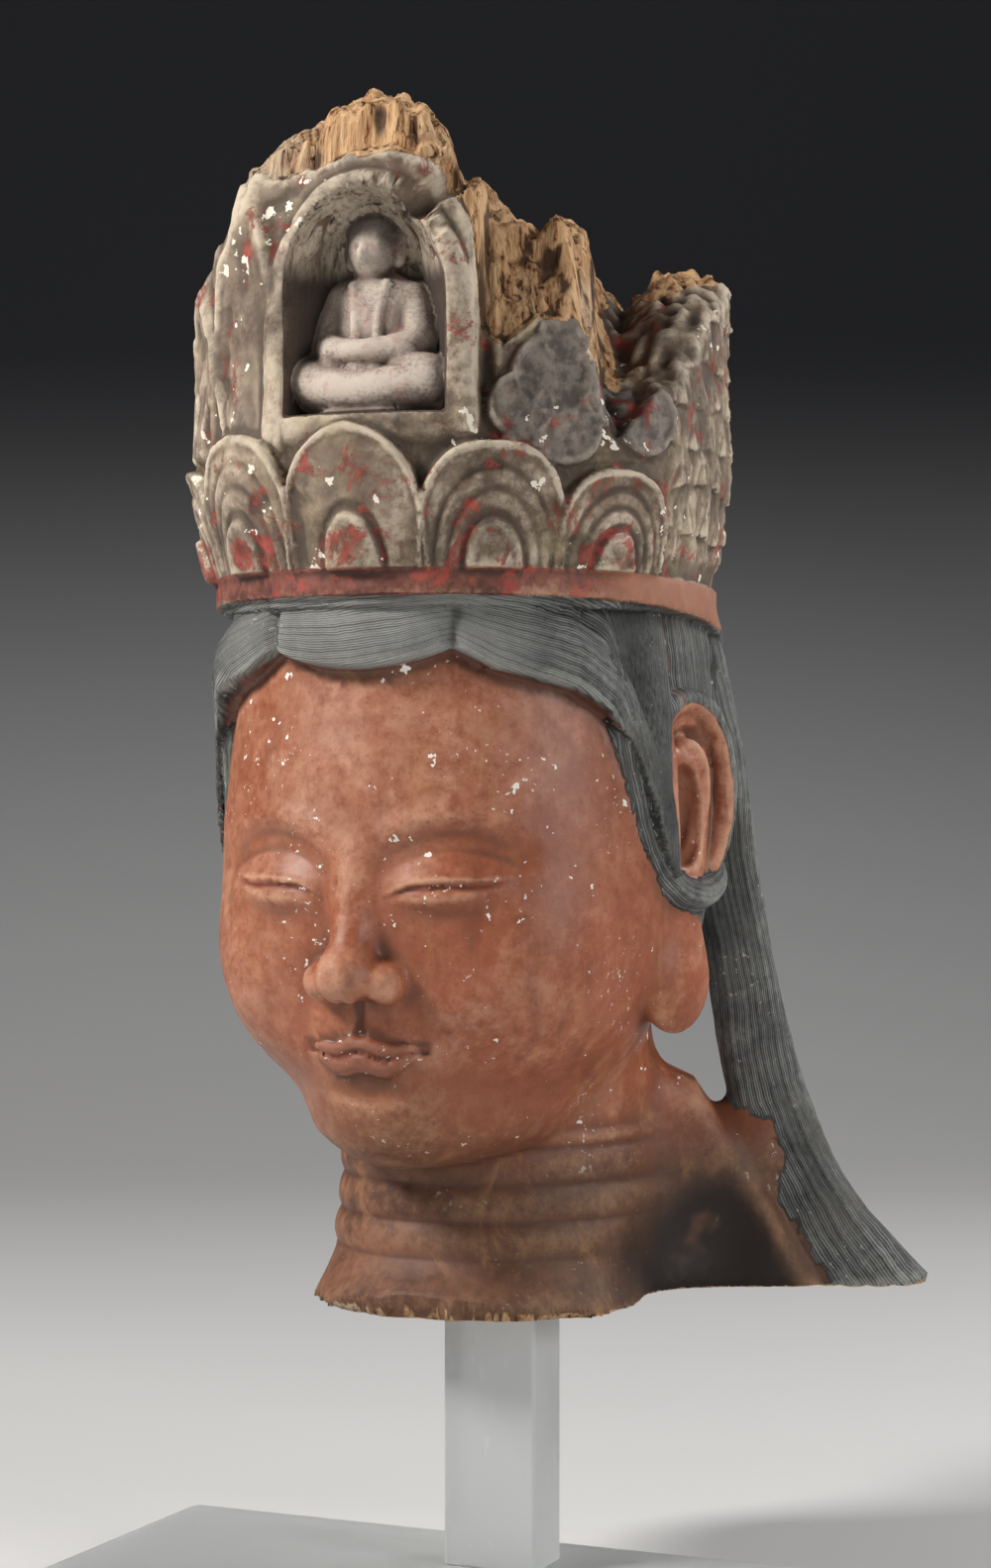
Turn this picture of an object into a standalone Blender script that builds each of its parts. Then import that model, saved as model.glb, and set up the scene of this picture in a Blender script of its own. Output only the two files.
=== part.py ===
"""Carved wooden head of a bodhisattva on an acrylic post and base.

The head is one block of wood. It is blocked out from primitives, joined by a voxel remesh, and its points
are then moved onto one smooth form, the carving, which is worked out from the sizes below. Metres, +Z up. The
origin is the middle of the base's underside and the face looks along -Y. Carving sizes are measured from the
head's own upright axis, and heights from the underside of the base.
"""
import bpy
import numpy as np
from math import cos, pi, radians, sin
from mathutils import Matrix

# Stand
BASE_WIDTH = 0.390
BASE_DEPTH = 0.250
BASE_THICKNESS = 0.020
BASE_CORNER = 0.012
POST_WIDTH = 0.045
POST_DEPTH = 0.031
POST_EDGE = 0.002
POST_FROM_BACK = 0.056
REST_GAP = 0.0003

# Place of the head's axis from the post
HEAD_SIDEWAYS = -0.016
HEAD_BACK = -0.002

# Heights
CHEST_Z = 0.1390
CHIN_Z = 0.2115
HAIRLINE_Z = 0.4277
BAND_LOW_Z = 0.4555
BAND_TOP_Z = 0.4675
NICHE_Z = 0.5700
CROWN_TOP_Z = 0.6890

# Widths and depths, from the axis. The skull lies inside the band and the crown flares out over it.
BAND_HALF_WIDTH = 0.1075
BAND_HALF_DEPTH = 0.1245
SKULL_INSIDE_BAND = 0.0060
CROWN_FLARE = 0.0090
NECK_HALF_WIDTH = 0.0700
NECK_BACK = 0.030
HAIR_THICKNESS = 0.0070
SWAG_THICKNESS = 0.0050
BAND_PROUD = 0.0035
BAND_DROP = 0.010

# Carving
RING_STEP = 0.0165
PETAL_STEP = 27.0
PETAL_HALF = 15.2
PETAL_SQUARE = 2.7
PETAL_PROUD = 0.0060
ORNAMENT_TURN = 2.5
NICHE_SIDEWAYS = 0.0110
NICHE_HALF_WIDTH = 0.0360
NICHE_DEPTH = 0.0330
NICHE_SPRING = 0.0100
NICHE_HEAD = 0.0460
NICHE_FLOOR_Z = 0.5320
FIGURE_SIDEWAYS = 0.0065
SCALE_WIDE = 0.0215
SCALE_TALL = 0.0190
TRESS_FLATNESS = 1.5
SLOT_HALF = 2.6
SLOT_DEPTH = 0.006
BROKEN_FACE_TURN = 24.0

# The eye that saw the broken top's outline: height, and distance from the head's axis
EYE_Z = 0.376
EYE_DISTANCE = 1.455

# Mesh
FIRST_VOXEL = 0.0040
LAST_VOXEL = 0.0030
TRIANGLES = 9200
PROBE = 0.0004

POST_Y = BASE_DEPTH / 2 - POST_FROM_BACK
HEAD_AXIS = np.array((HEAD_SIDEWAYS, POST_Y + HEAD_BACK, 0.0))
SKULL_HALF_WIDTH = BAND_HALF_WIDTH - SKULL_INSIDE_BAND
SKULL_HALF_DEPTH = BAND_HALF_DEPTH - SKULL_INSIDE_BAND
CROWN_HALF_WIDTH = BAND_HALF_WIDTH + CROWN_FLARE
CROWN_HALF_DEPTH = BAND_HALF_DEPTH + CROWN_FLARE
FACE_HEIGHT = HAIRLINE_Z - CHIN_Z
BROW_Z = HAIRLINE_Z - FACE_HEIGHT / 3
NOSE_Z = HAIRLINE_Z - FACE_HEIGHT * 2 / 3
RING_RADIUS = (CROWN_HALF_WIDTH + CROWN_HALF_DEPTH) / 2
ARC = RING_RADIUS * pi / 180
FACING = np.array((cos(radians(BROKEN_FACE_TURN)), sin(radians(BROKEN_FACE_TURN))))
AWAY = np.array((-FACING[1], FACING[0]))

# Where the carved surface of the crown ends and raw wood begins: ring angle, height
CARVED_LIMIT = (
    (-180, 0.600), (-110, 0.600), (-75, 0.606), (-60, 0.618), (-40, 0.630), (-27, 0.641), (-13, 0.634),
    (-5, 0.634), (1, 0.640), (10, 0.642), (19, 0.634), (25, 0.612), (27, 0.566), (31, 0.560), (38, 0.573),
    (46, 0.573), (51, 0.558), (60, 0.553), (66, 0.556), (72, 0.582), (80, 0.600), (110, 0.603), (180, 0.600))

# Broken top of the crown, seen from the broken face: distance across, height below the highest point
TOP_OUTLINE = (
    (-0.125, 0.089), (-0.112, 0.067), (-0.104, 0.044), (-0.083, 0.022), (-0.065, 0.009), (-0.040, 0.000),
    (-0.020, 0.006), (-0.008, 0.022), (-0.001, 0.042), (0.004, 0.038), (0.019, 0.056), (0.033, 0.065),
    (0.040, 0.056), (0.053, 0.063), (0.057, 0.085), (0.070, 0.099), (0.085, 0.085), (0.099, 0.081),
    (0.117, 0.083), (0.130, 0.095))

# Upper edge of the broken shoulder: distance across, height
SHOULDER_RIDGE = (
    (0.05, 0.262), (0.080, 0.250), (0.106, 0.2385), (0.125, 0.208), (0.143, 0.179), (0.167, 0.141))

# The long tress: place and half width at each point
TRESS = (
    (0.0900, 0.0520, 0.4400, 0.0130), (0.0960, 0.0620, 0.3900, 0.0145), (0.1000, 0.0730, 0.3300, 0.0150),
    (0.1060, 0.0840, 0.2700, 0.0165), (0.1170, 0.0930, 0.2150, 0.0190), (0.1340, 0.1010, 0.1720, 0.0215),
    (0.1690, 0.1130, 0.1270, 0.0240))
STUB_END = (0.1010, 0.0790, 0.2950, 0.0105)

# The lock that passes in front of the ear and under it
SIDE_LOCK = (
    (0.0900, -0.0560, 0.4260, 0.0065), (0.0940, -0.0490, 0.4020, 0.0066), (0.0965, -0.0430, 0.3780, 0.0064),
    (0.0990, -0.0370, 0.3560, 0.0062), (0.1025, -0.0260, 0.3390, 0.0062), (0.1075, -0.0100, 0.3285, 0.0064),
    (0.1110, 0.0080, 0.3270, 0.0066), (0.1100, 0.0240, 0.3330, 0.0064), (0.1030, 0.0380, 0.3430, 0.0060))

# Ear, on its own plane: along, height from the ear's middle, outwards, half width
EAR_Z = 0.3700
EAR_OUT = 0.0975
EAR_LEAN = 14.0
EAR_RIM = (
    (-0.0215, -0.0200, 0.003, 0.0048), (-0.0265, 0.0000, 0.006, 0.0048), (-0.0240, 0.0220, 0.008, 0.0050),
    (-0.0130, 0.0385, 0.009, 0.0054), (0.0020, 0.0430, 0.009, 0.0058), (0.0170, 0.0370, 0.010, 0.0060),
    (0.0270, 0.0200, 0.011, 0.0058), (0.0290, -0.0020, 0.011, 0.0056), (0.0240, -0.0240, 0.009, 0.0054),
    (0.0130, -0.0400, 0.006, 0.0050))
EAR_FOLD = (
    (-0.0100, 0.0150, 0.007, 0.0030), (0.0000, 0.0230, 0.009, 0.0036), (0.0095, 0.0160, 0.010, 0.0042),
    (0.0130, -0.0020, 0.009, 0.0042), (0.0080, -0.0200, 0.007, 0.0036), (-0.0010, -0.0320, 0.005, 0.0030))

# Petals of the lower tier: place in the row, tip, how pointed
PETALS = ((-2, 0.517, 0.0), (2, 0.511, 0.0), (-1, 0.528, 0.0), (1, 0.521, 0.0), (0, 0.530, 0.12))

# Leaves and clouds of the upper tier: angle, foot, tip or level, half angle or radius
LEAVES = ((-25.5, 0.530, 0.636, 12.5), (-47.0, 0.525, 0.600, 11.0), (-66.0, 0.530, 0.612, 10.0),
          (-37.0, 0.500, 0.560, 7.5), (-56.0, 0.500, 0.556, 8.0))
CLOUDS = ((41.0, 0.5650, 0.0125), (38.5, 0.5480, 0.0190), (50.5, 0.5430, 0.0150), (32.0, 0.5350, 0.0150),
          (61.5, 0.5350, 0.0190), (41.0, 0.5290, 0.0190))


def smooth_join(a, b, blend):
    """Union of two forms, rounded over the width of the blend."""
    h = np.clip(0.5 + 0.5 * (b - a) / blend, 0.0, 1.0)
    return b + (a - b) * h - blend * h * (1.0 - h)


def smooth_cut(a, b, blend):
    """First form less the second."""
    return -smooth_join(-a, b, blend)


def ramp(value, low, high):
    t = np.clip((value - low) / (high - low), 0.0, 1.0)
    return t * t * (3.0 - 2.0 * t)


def bump(distance, reach):
    t = np.clip(1.0 - (distance / reach) ** 2, 0.0, 1.0)
    return t * t


def smooth_path(points, steps=4):
    """Points of a smooth curve through the given ones."""
    points = np.asarray(points, float)
    ends = np.vstack((2 * points[0] - points[1], points, 2 * points[-1] - points[-2]))
    path = []
    for before, here, after, beyond in zip(ends, ends[1:], ends[2:], ends[3:]):
        for t in np.arange(steps) / steps:
            path.append(here + 0.5 * (after - before) * t
                        + (before - 2.5 * here + 2 * after - 0.5 * beyond) * t * t
                        + 0.5 * (3 * here - before - 3 * after + beyond) * t ** 3)
    path.append(points[-1])
    return np.array(path)


def noise(points, seed=0.0):
    """Smooth noise between -1 and 1 at points measured in its own cells."""
    cell = np.floor(points)
    share = points - cell
    share = share * share * (3.0 - 2.0 * share)
    total = np.zeros(len(points))
    for corner in np.ndindex(2, 2, 2):
        place = cell + corner
        value = np.sin(place @ np.array((12.9898, 78.233, 37.719)) + seed) * 43758.5453
        weight = np.prod(np.where(corner, share, 1.0 - share), axis=1)
        total += weight * (value - np.floor(value))
    return 2.0 * total - 1.0


class Ball:
    """An ellipsoid that is joined to the form, or cut from it."""

    def __init__(self, centre, radii, blend, axes=None, cuts=False):
        self.centre = np.array(centre, float)
        self.radii = np.array(radii, float)
        self.blend = blend
        self.axes = np.eye(3) if axes is None else axes
        self.cuts = cuts

    def apply(self, field, points):
        reach = self.radii.max() + self.blend
        near = np.flatnonzero((np.abs(points - self.centre) < reach).all(axis=1))
        local = (points[near] - self.centre) @ self.axes
        size = np.sqrt(((local / self.radii) ** 2).sum(axis=1))
        slope = np.sqrt(((local / self.radii ** 2) ** 2).sum(axis=1))
        distance = size * (size - 1.0) / np.maximum(slope, 1e-9)
        join = smooth_cut if self.cuts else smooth_join
        field[near] = join(field[near], distance, self.blend)

    def block_out(self):
        bpy.ops.mesh.primitive_uv_sphere_add(segments=32, ring_count=20)
        ball = bpy.context.object
        frame = np.eye(4)
        frame[:3, :3] = self.axes * self.radii
        frame[:3, 0] *= np.sign(np.linalg.det(self.axes))
        frame[:3, 3] = self.centre + HEAD_AXIS
        ball.matrix_world = Matrix(frame)
        return ball


class Rope:
    """A rounded band along a smooth path, flattened along one direction if wanted."""

    def __init__(self, path, blend, across=None, flatness=1.0):
        self.path = smooth_path(path)
        self.blend = blend
        self.squeeze = np.eye(3)
        if across is not None:
            across = np.array(across) / np.sqrt(np.dot(across, across))
            self.squeeze += np.outer(across, across) * (flatness - 1.0)
        self.cuts = False

    def apply(self, field, points):
        places, widths = self.path[:, :3], self.path[:, 3]
        reach = widths.max() + self.blend
        inside = (points > places.min(axis=0) - reach) & (points < places.max(axis=0) + reach)
        near = np.flatnonzero(inside.all(axis=1))
        local = points[near] @ self.squeeze
        ends = places @ self.squeeze
        distance = np.full(len(near), reach)
        for start, end, wide, narrow in zip(ends, ends[1:], widths, widths[1:]):
            run = end - start
            share = np.clip((local - start) @ run / (run @ run), 0.0, 1.0)
            gap = np.sqrt(((local - start - share[:, None] * run) ** 2).sum(axis=1))
            distance = np.minimum(distance, gap - wide - (narrow - wide) * share)
        field[near] = smooth_join(field[near], distance, self.blend)

    def block_out(self):
        curve = bpy.data.curves.new("rope", "CURVE")
        curve.dimensions = "3D"
        curve.bevel_depth = 1.0
        curve.bevel_resolution = 2
        curve.use_fill_caps = True
        spline = curve.splines.new("POLY")
        spline.points.add(len(self.path) - 1)
        for point, (x, y, z, width) in zip(spline.points, self.path):
            point.co = (x + HEAD_AXIS[0], y + HEAD_AXIS[1], z, 1.0)
            point.radius = width / np.linalg.norm(self.squeeze, 2) ** 0.5
        guide = bpy.data.objects.new("rope", curve)
        bpy.context.collection.objects.link(guide)
        graph = bpy.context.evaluated_depsgraph_get()
        rope = bpy.data.objects.new("rope_mesh", bpy.data.meshes.new_from_object(guide.evaluated_get(graph)))
        bpy.context.collection.objects.link(rope)
        bpy.data.objects.remove(guide)
        return rope


def mirrored(path):
    return [(-x, y, z, width) for x, y, z, width in path]


def skull_forms():
    """Cheeks, mouth, chin and the soft roll under it, on the smooth cranium."""
    return [
        Ball((0, -0.016, 0.328), (SKULL_HALF_WIDTH + 0.001, 0.101, 0.1185), 0.030),
        Ball((0.043, -0.062, 0.298), (0.041, 0.041, 0.043), 0.024),
        Ball((-0.043, -0.062, 0.298), (0.041, 0.041, 0.043), 0.024),
        Ball((0, -0.079, 0.265), (0.036, 0.030, 0.033), 0.022),
        Ball((0, -0.0760, CHIN_Z + 0.0215), (0.025, 0.0225, 0.0205), 0.022),
        Ball((0, -0.040, CHIN_Z + 0.0170), (0.052, 0.048, 0.0190), 0.020),
    ]


def nose_forms():
    forms = [
        Rope(((0, -0.1085, BROW_Z - 0.002, 0.0080), (0, -0.1150, BROW_Z - 0.020, 0.0076),
              (0, -0.1190, BROW_Z - 0.042, 0.0088), (0, -0.1235, BROW_Z - 0.058, 0.0105)), 0.008),
        Ball((0, -0.1245, NOSE_Z + 0.0105), (0.0125, 0.0140, 0.0115), 0.007),
    ]
    for side in (1, -1):
        forms.append(Ball((side * 0.0148, -0.1160, NOSE_Z + 0.0080), (0.0085, 0.0130, 0.0088), 0.005))
        nostril = (side * 0.0078, -0.1225, NOSE_Z - 0.0010)
        forms.append(Ball(nostril, (0.0040, 0.0062, 0.0040), 0.002, cuts=True))
    return forms


def ear_forms(side):
    lean = radians(EAR_LEAN)
    along = np.array((side * sin(lean), cos(lean), 0.0))
    out = np.array((side * cos(lean), -sin(lean), 0.0))
    axes = np.column_stack((along, out, (0.0, 0.0, 1.0)))
    seat = np.array((side * EAR_OUT, 0.0, EAR_Z))

    def place(a, height, n):
        return seat + along * a + out * n + np.array((0.0, 0.0, height))

    def path(points):
        return [(*place(a, height, n), width) for a, height, n, width in points]

    return [
        Ball(place(0.001, 0.000, 0.000), (0.0285, 0.0085, 0.0460), 0.006, axes),
        Rope(path(EAR_RIM), 0.002),
        Ball(place(-0.004, -0.008, 0.012), (0.0125, 0.0120, 0.0230), 0.002, axes, cuts=True),
        Ball(place(0.003, 0.026, 0.0125), (0.0160, 0.0070, 0.0065), 0.002, axes, cuts=True),
        Rope(path(EAR_FOLD), 0.0015),
        Ball(place(-0.019, -0.011, 0.008), (0.0050, 0.0050, 0.0085), 0.002, axes),
        Ball(place(-0.001, -0.056, 0.003), (0.0185, 0.0100, 0.0330), 0.004, axes),
        Ball(place(0.000, -0.081, 0.0035), (0.0220, 0.0115, 0.0240), 0.006, axes),
        Rope([(side * x, y, z, width) for x, y, z, width in SIDE_LOCK], 0.003),
    ]


def figure_forms():
    """The small seated figure, hands in its lap, in the hollowed niche."""
    level = NICHE_Z

    def at(x, y, z):
        return (FIGURE_SIDEWAYS + x, y, level + z)

    forms = [
        Ball(at(0, -0.1050, -0.0330), (0.0390, 0.0190, 0.0075), 0.003),
        Ball(at(0, -0.1070, 0.0000), (0.0180, 0.0125, 0.0270), 0.003),
        Ball(at(0, -0.1065, 0.0115), (0.0215, 0.0110, 0.0110), 0.004),
    ]
    for side in (1, -1):
        forms.append(Rope((
            (*at(side * 0.0155, -0.1065, 0.0130), 0.0066), (*at(side * 0.0195, -0.1080, 0.0020), 0.0074),
            (*at(side * 0.0200, -0.1110, -0.0070), 0.0074), (*at(side * 0.0140, -0.1180, -0.0100), 0.0062),
            (*at(side * 0.0050, -0.1225, -0.0105), 0.0050)), 0.0022))
        forms.append(Rope(((*at(side * 0.0190, -0.1140, -0.0090), 0.0060),
                           (*at(side * 0.0160, -0.1185, -0.0170), 0.0054)), 0.002))
        forms.append(Ball(at(side * 0.0250, -0.1140, -0.0230), (0.0125, 0.0140, 0.0112), 0.002))
        forms.append(Rope((
            (*at(side * 0.0280, -0.1170, -0.0235), 0.0094), (*at(side * 0.0090, -0.1230, -0.0270), 0.0084),
            (*at(side * -0.0090, -0.1235, -0.0295), 0.0064)), 0.0018))
        forms.append(Rope(((*at(side * 0.0108, -0.1085, 0.0390), 0.0022),
                           (*at(side * 0.0108, -0.1090, 0.0280), 0.0028)), 0.001))
        forms.append(Rope(((*at(side * 0.0080, -0.1150, 0.0180), 0.0022),
                           (*at(side * 0.0056, -0.1180, 0.0060), 0.0022),
                           (*at(side * 0.0052, -0.1190, -0.0060), 0.0020)), 0.001))
    forms += [
        Ball(at(0, -0.1245, -0.0105), (0.0095, 0.0046, 0.0044), 0.0015),
        Rope(((*at(0, -0.1080, 0.0170), 0.0066), (*at(0, -0.1095, 0.0260), 0.0064)), 0.002),
        Ball(at(0, -0.1120, 0.0330), (0.0104, 0.0108, 0.0126), 0.0015),
        Ball(at(0, -0.1090, 0.0385), (0.0116, 0.0122, 0.0100), 0.0010),
        Ball(at(0, -0.1225, 0.0310), (0.0020, 0.0022, 0.0036), 0.0015),
    ]
    return forms


def niche_hollow(points):
    """The hollow behind the figure: upright sides, a round head and a flat floor."""
    rise = np.maximum(points[:, 2] - NICHE_Z - NICHE_SPRING, 0.0)
    size = np.sqrt(((points[:, 0] - NICHE_SIDEWAYS) / NICHE_HALF_WIDTH) ** 2
                   + ((points[:, 1] + CROWN_HALF_DEPTH) / NICHE_DEPTH) ** 2 + (rise / NICHE_HEAD) ** 2)
    return np.maximum((size - 1) * NICHE_DEPTH, NICHE_FLOOR_Z - points[:, 2])


def face_curve(x, z, path):
    """Distance on the plane of the face to a smooth curve, and the share of the way along it."""
    points = smooth_path(path)
    nearest = np.full(len(x), 1.0)
    share = np.zeros(len(x))
    count = len(points) - 1
    for index, (start, end) in enumerate(zip(points, points[1:])):
        run = end - start
        t = np.clip(((x - start[0]) * run[0] + (z - start[1]) * run[1]) / (run @ run), 0.0, 1.0)
        distance = np.hypot(x - start[0] - t * run[0], z - start[1] - t * run[1])
        closer = distance < nearest
        nearest[closer] = distance[closer]
        share[closer] = (index + t[closer]) / count
    return nearest, share


def eye_relief(x, z):
    """Lowered eyes: socket, ball under a heavy lid, the slit and the fold above."""
    eye_x, eye_z = 0.0405, BROW_Z - 0.0185
    slant = (x - eye_x) * 0.06
    socket = np.hypot((x - eye_x) / 0.033, (z - eye_z - 0.006 - slant) / 0.0175)
    ball = np.hypot((x - eye_x) / 0.0275, (z - eye_z - slant) / 0.0165)
    relief = 0.0085 * bump(ball, 1.12) - 0.0068 * bump(socket, 1.18)
    upper = ((0.016, eye_z - 0.0085), (0.026, eye_z - 0.0042), (0.040, eye_z - 0.0030),
             (0.055, eye_z - 0.0030), (0.068, eye_z - 0.0010))
    lower = ((0.016, eye_z - 0.0085), (0.028, eye_z - 0.0105), (0.041, eye_z - 0.0105),
             (0.055, eye_z - 0.0075), (0.066, eye_z - 0.0025))
    fold = ((0.018, eye_z + 0.002), (0.030, eye_z + 0.0095), (0.045, eye_z + 0.0115),
            (0.060, eye_z + 0.0075), (0.070, eye_z + 0.001))
    to_upper, along = face_curve(x, z, upper)
    above = ramp(z - np.interp(x, *np.transpose(upper)), -0.001, 0.0008)
    relief += 0.0017 * bump(to_upper, 0.0042) * above * bump(along - 0.5, 0.62)
    relief -= 0.0022 * bump(to_upper, 0.0040) * (1 - above) * bump(along - 0.45, 0.60)
    to_lower, along = face_curve(x, z, lower)
    relief += 0.0009 * bump(to_lower, 0.0035) * bump(along - 0.5, 0.65)
    to_fold, along = face_curve(x, z, fold)
    return relief - 0.0009 * bump(to_fold, 0.0030) * bump(along - 0.5, 0.6)


def mouth_relief(x, z):
    """Small full lips, the groove above them and the hollow below."""
    lip_z, half = NOSE_Z - 0.0235, 0.0255
    line = lip_z + 0.0016 * np.cos(np.clip(x / 0.012, 0, 1) * pi) + 0.0032 * ramp(x, 0.011, 0.025)
    wide = np.sqrt(np.clip(1 - (x / half) ** 2, 0, 1))
    above = (z - line) / (0.0080 * wide ** 1.1 * (1 - 0.16 * bump(x, 0.0045)) + 1e-5)
    below = (line - z) / (0.0092 * wide ** 1.3 + 1e-5)
    crest = np.sqrt(np.clip(1 - (2 * np.maximum(above, below) - 0.95) ** 2, 0, 1))
    relief = 0.0036 * crest * wide ** 0.8
    relief -= 0.0014 * bump(z - line, 0.0017) * ramp(0.030 - x, 0, 0.004)
    relief -= 0.0016 * bump(np.hypot(x - 0.0265, z - lip_z - 0.004), 0.0055)
    groove = ramp(z, lip_z + 0.005, lip_z + 0.009) * ramp(NOSE_Z + 0.004 - z, 0, 0.005)
    relief -= 0.0016 * bump(x, 0.0042) * groove
    return relief - 0.0030 * bump(np.hypot(x / 2.6, z - lip_z + 0.0150), 0.0085)


def face_relief(points):
    x, z = np.abs(points[:, 0]), points[:, 2]
    brow = ((0.010, BROW_Z - 0.014), (0.015, BROW_Z - 0.004), (0.026, BROW_Z + 0.0035),
            (0.043, BROW_Z + 0.0065), (0.060, BROW_Z + 0.002), (0.074, BROW_Z - 0.008))
    cheek = ((0.021, NOSE_Z + 0.006), (0.028, NOSE_Z - 0.004), (0.0345, NOSE_Z - 0.018))
    relief = eye_relief(x, z) + mouth_relief(x, z)
    to_brow, along = face_curve(x, z, brow)
    relief += 0.0020 * bump(to_brow, 0.0095) * ramp(along, 0.0, 0.30) * (1 - 0.7 * along)
    to_cheek, along = face_curve(x, z, cheek)
    relief -= 0.0011 * bump(to_cheek, 0.0085) * bump(along - 0.4, 0.8)
    return relief * ramp(-points[:, 1], 0.020, 0.050)


def cranium(points):
    form = Ball((0, 0.003, 0.400), (SKULL_HALF_WIDTH, SKULL_HALF_DEPTH, 0.160), 0.01)
    field = np.full(len(points), 1.0)
    form.apply(field, points)
    return field


def hair_edge(angle):
    """Height of the hairline at an angle from the middle of the face, either side alike."""
    swags = np.interp(angle, (21, 30, 40, 48, 57, 64, 69, 74, 80),
                      (0.0055, -0.0035, -0.0085, -0.0119, -0.0215, -0.038, -0.060, -0.085, -0.100))
    return HAIRLINE_Z + np.where(angle < 21, 0.0088 * (angle / 21) ** 2 - 0.0033, swags)


def hair_cover(angle, above, z):
    """One where hair covers the head: above the hairline in front, to the nape behind."""
    back = ramp(angle, 76, 92)
    nape = np.interp(angle, (80, 100, 125, 150), (0.322, 0.310, 0.262, 0.240))
    return np.maximum(ramp(above, -0.0016, 0.0020) * (1 - back), back * ramp(z - nape, -0.008, 0.012))


def hair_thickness(points):
    """Hair as a layer on the head: rolled swags over the brow, then plain down the back."""
    x, y, z = points.T
    angle = np.degrees(np.abs(np.arctan2(x, -y)))
    above = z - hair_edge(angle)
    front = ramp(75 - angle, 0, 12)
    roll = np.sqrt(np.clip(1 - ((above - 0.015) / 0.019) ** 2, 0, 1))
    swag = np.where(angle < 21, 0.7 * bump(angle / 21, 1.15), bump((angle - 42) / 21, 1.2))
    thick = HAIR_THICKNESS * (1 + front * (1.10 * roll - 0.70)) + SWAG_THICKNESS * swag * front * roll
    cover = hair_cover(angle, above, z)
    parting = bump(angle - 21, 2.6) * ramp(above, 0, 0.004) * front
    return thick * cover - 0.003 * (1 - cover) - 0.0030 * parting


def neck_form(points):
    """Ringed neck, cut off across the chest."""
    x, y, z = points.T
    half = NECK_HALF_WIDTH * np.interp(z, (0.130, 0.145, 0.165, 0.19, 0.22, 0.26),
                                       (1.18, 1.12, 1.04, 1.00, 0.985, 1.03))
    rings = np.abs(np.sin(pi * (z - CHEST_Z - 0.0245) / RING_STEP)) ** 0.7
    half = half + 0.0026 * rings * ramp(z, 0.160, 0.166) * ramp(0.222 - z, 0, 0.006)
    field = (np.hypot(x / half, (y - NECK_BACK) / half) - 1) * half
    chest = Ball((0, 0.020, CHEST_Z - 0.021), (0.083, 0.098, 0.052), 0.014)
    chest.apply(field, points)
    return field


def shoulder_form(points):
    """What is left of the left shoulder: a wall in plan, under a sloping broken ridge."""
    x, y, z = points.T
    start, end = np.array((0.020, 0.045)), np.array((0.148, 0.103))
    run = end - start
    share = np.clip(((x - start[0]) * run[0] + (y - start[1]) * run[1]) / (run @ run), 0, 1)
    plan = np.hypot(x - start[0] - share * run[0], y - start[1] - share * run[1])
    plan = plan - np.interp(share, (0, 0.5, 1.0), (0.040, 0.022, 0.013))
    ridge = np.interp(points[:, :2] @ FACING, *np.transpose(SHOULDER_RIDGE))
    return smooth_cut(plan, (ridge - z) * 0.62, 0.012)


def broken_top(points):
    """Height of the crown's broken top over each place. Its outline is the one the eye sees."""
    away = points[:, :2] @ AWAY
    nearness = (EYE_DISTANCE + away) / EYE_DISTANCE
    across = points[:, :2] @ FACING / nearness
    top = CROWN_TOP_Z - np.interp(across, *np.transpose(TOP_OUTLINE))
    top = EYE_Z + (top - EYE_Z) * nearness
    behind_hump = ramp(-across, -0.006, 0.014) * ramp(away, -0.045, 0.070)
    top = top - 0.075 * behind_hump
    lump_slope = ramp(across, 0.052, 0.064) * ramp(-away, 0.010, 0.095)
    top = top - 0.048 * lump_slope
    return top + 0.005 * noise(points * np.array((90.0, 90.0, 20.0)), 3.0)


def raw_wood(points, angle, z):
    """How far the broken wood lies inside the carved surface, and where it does."""
    limit = np.interp(angle, *np.transpose(CARVED_LIMIT)) + 0.003 * noise(points * 60.0, 11.0)
    over = z - limit
    where = ramp(over, -0.0005, 0.0030)
    cliff = ramp(angle, 26, 30) * ramp(66 - angle, 0, 6)
    block = bump(angle - 46, 5.5) * ramp(0.622 - z, 0, 0.004)
    fibres = noise(points * np.array((75.0, 75.0, 9.0)), 7.0)
    depth = 0.0045 + (0.10 + 0.30 * cliff) * np.maximum(over, 0.0) - 0.010 * block * cliff
    return where * (depth + (0.0022 + 0.0015 * cliff) * fibres), where


def arch_size(along, height, wide, tall, point=0.0):
    """One on the outline of an arch with its foot at height 0, less inside it."""
    return np.hypot((np.abs(along) / wide + point) / (1 + point), np.maximum(height, 0.0) / tall)


def petal_relief(angle, z):
    """Lower tier: a row of broad petals with inner arcs and a half round at each foot."""
    relief = np.zeros(len(z))
    height = np.maximum(z - BAND_TOP_Z, 0.0)
    for step, tip, point in PETALS:
        along = np.abs(angle - step * PETAL_STEP) / PETAL_HALF
        tall = tip - BAND_TOP_Z
        rise = height / tall + point * along
        outline = (along ** PETAL_SQUARE + rise ** PETAL_SQUARE) ** (1 / PETAL_SQUARE)
        round_size = np.hypot(along, height / tall)
        body = ramp(1 - outline, -0.015, 0.05) * ramp(z, BAND_TOP_Z - 0.004, BAND_TOP_Z)
        swell = PETAL_PROUD * (0.75 + 0.45 * bump(height / tall - 0.55, 0.9) * bump(along, 1.2))
        rim = 0.0016 * bump(outline - 0.94, 0.06)
        arcs = 0.0010 * (bump(round_size - 0.78, 0.06) + bump(round_size - 0.60, 0.06)) * (step != 0)
        boss = 0.0028 * ramp(0.37 - round_size, -0.02, 0.05) - 0.0012 * bump(round_size - 0.42, 0.06)
        relief = np.maximum(relief, body * (swell + rim + boss - arcs))
    return relief


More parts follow.
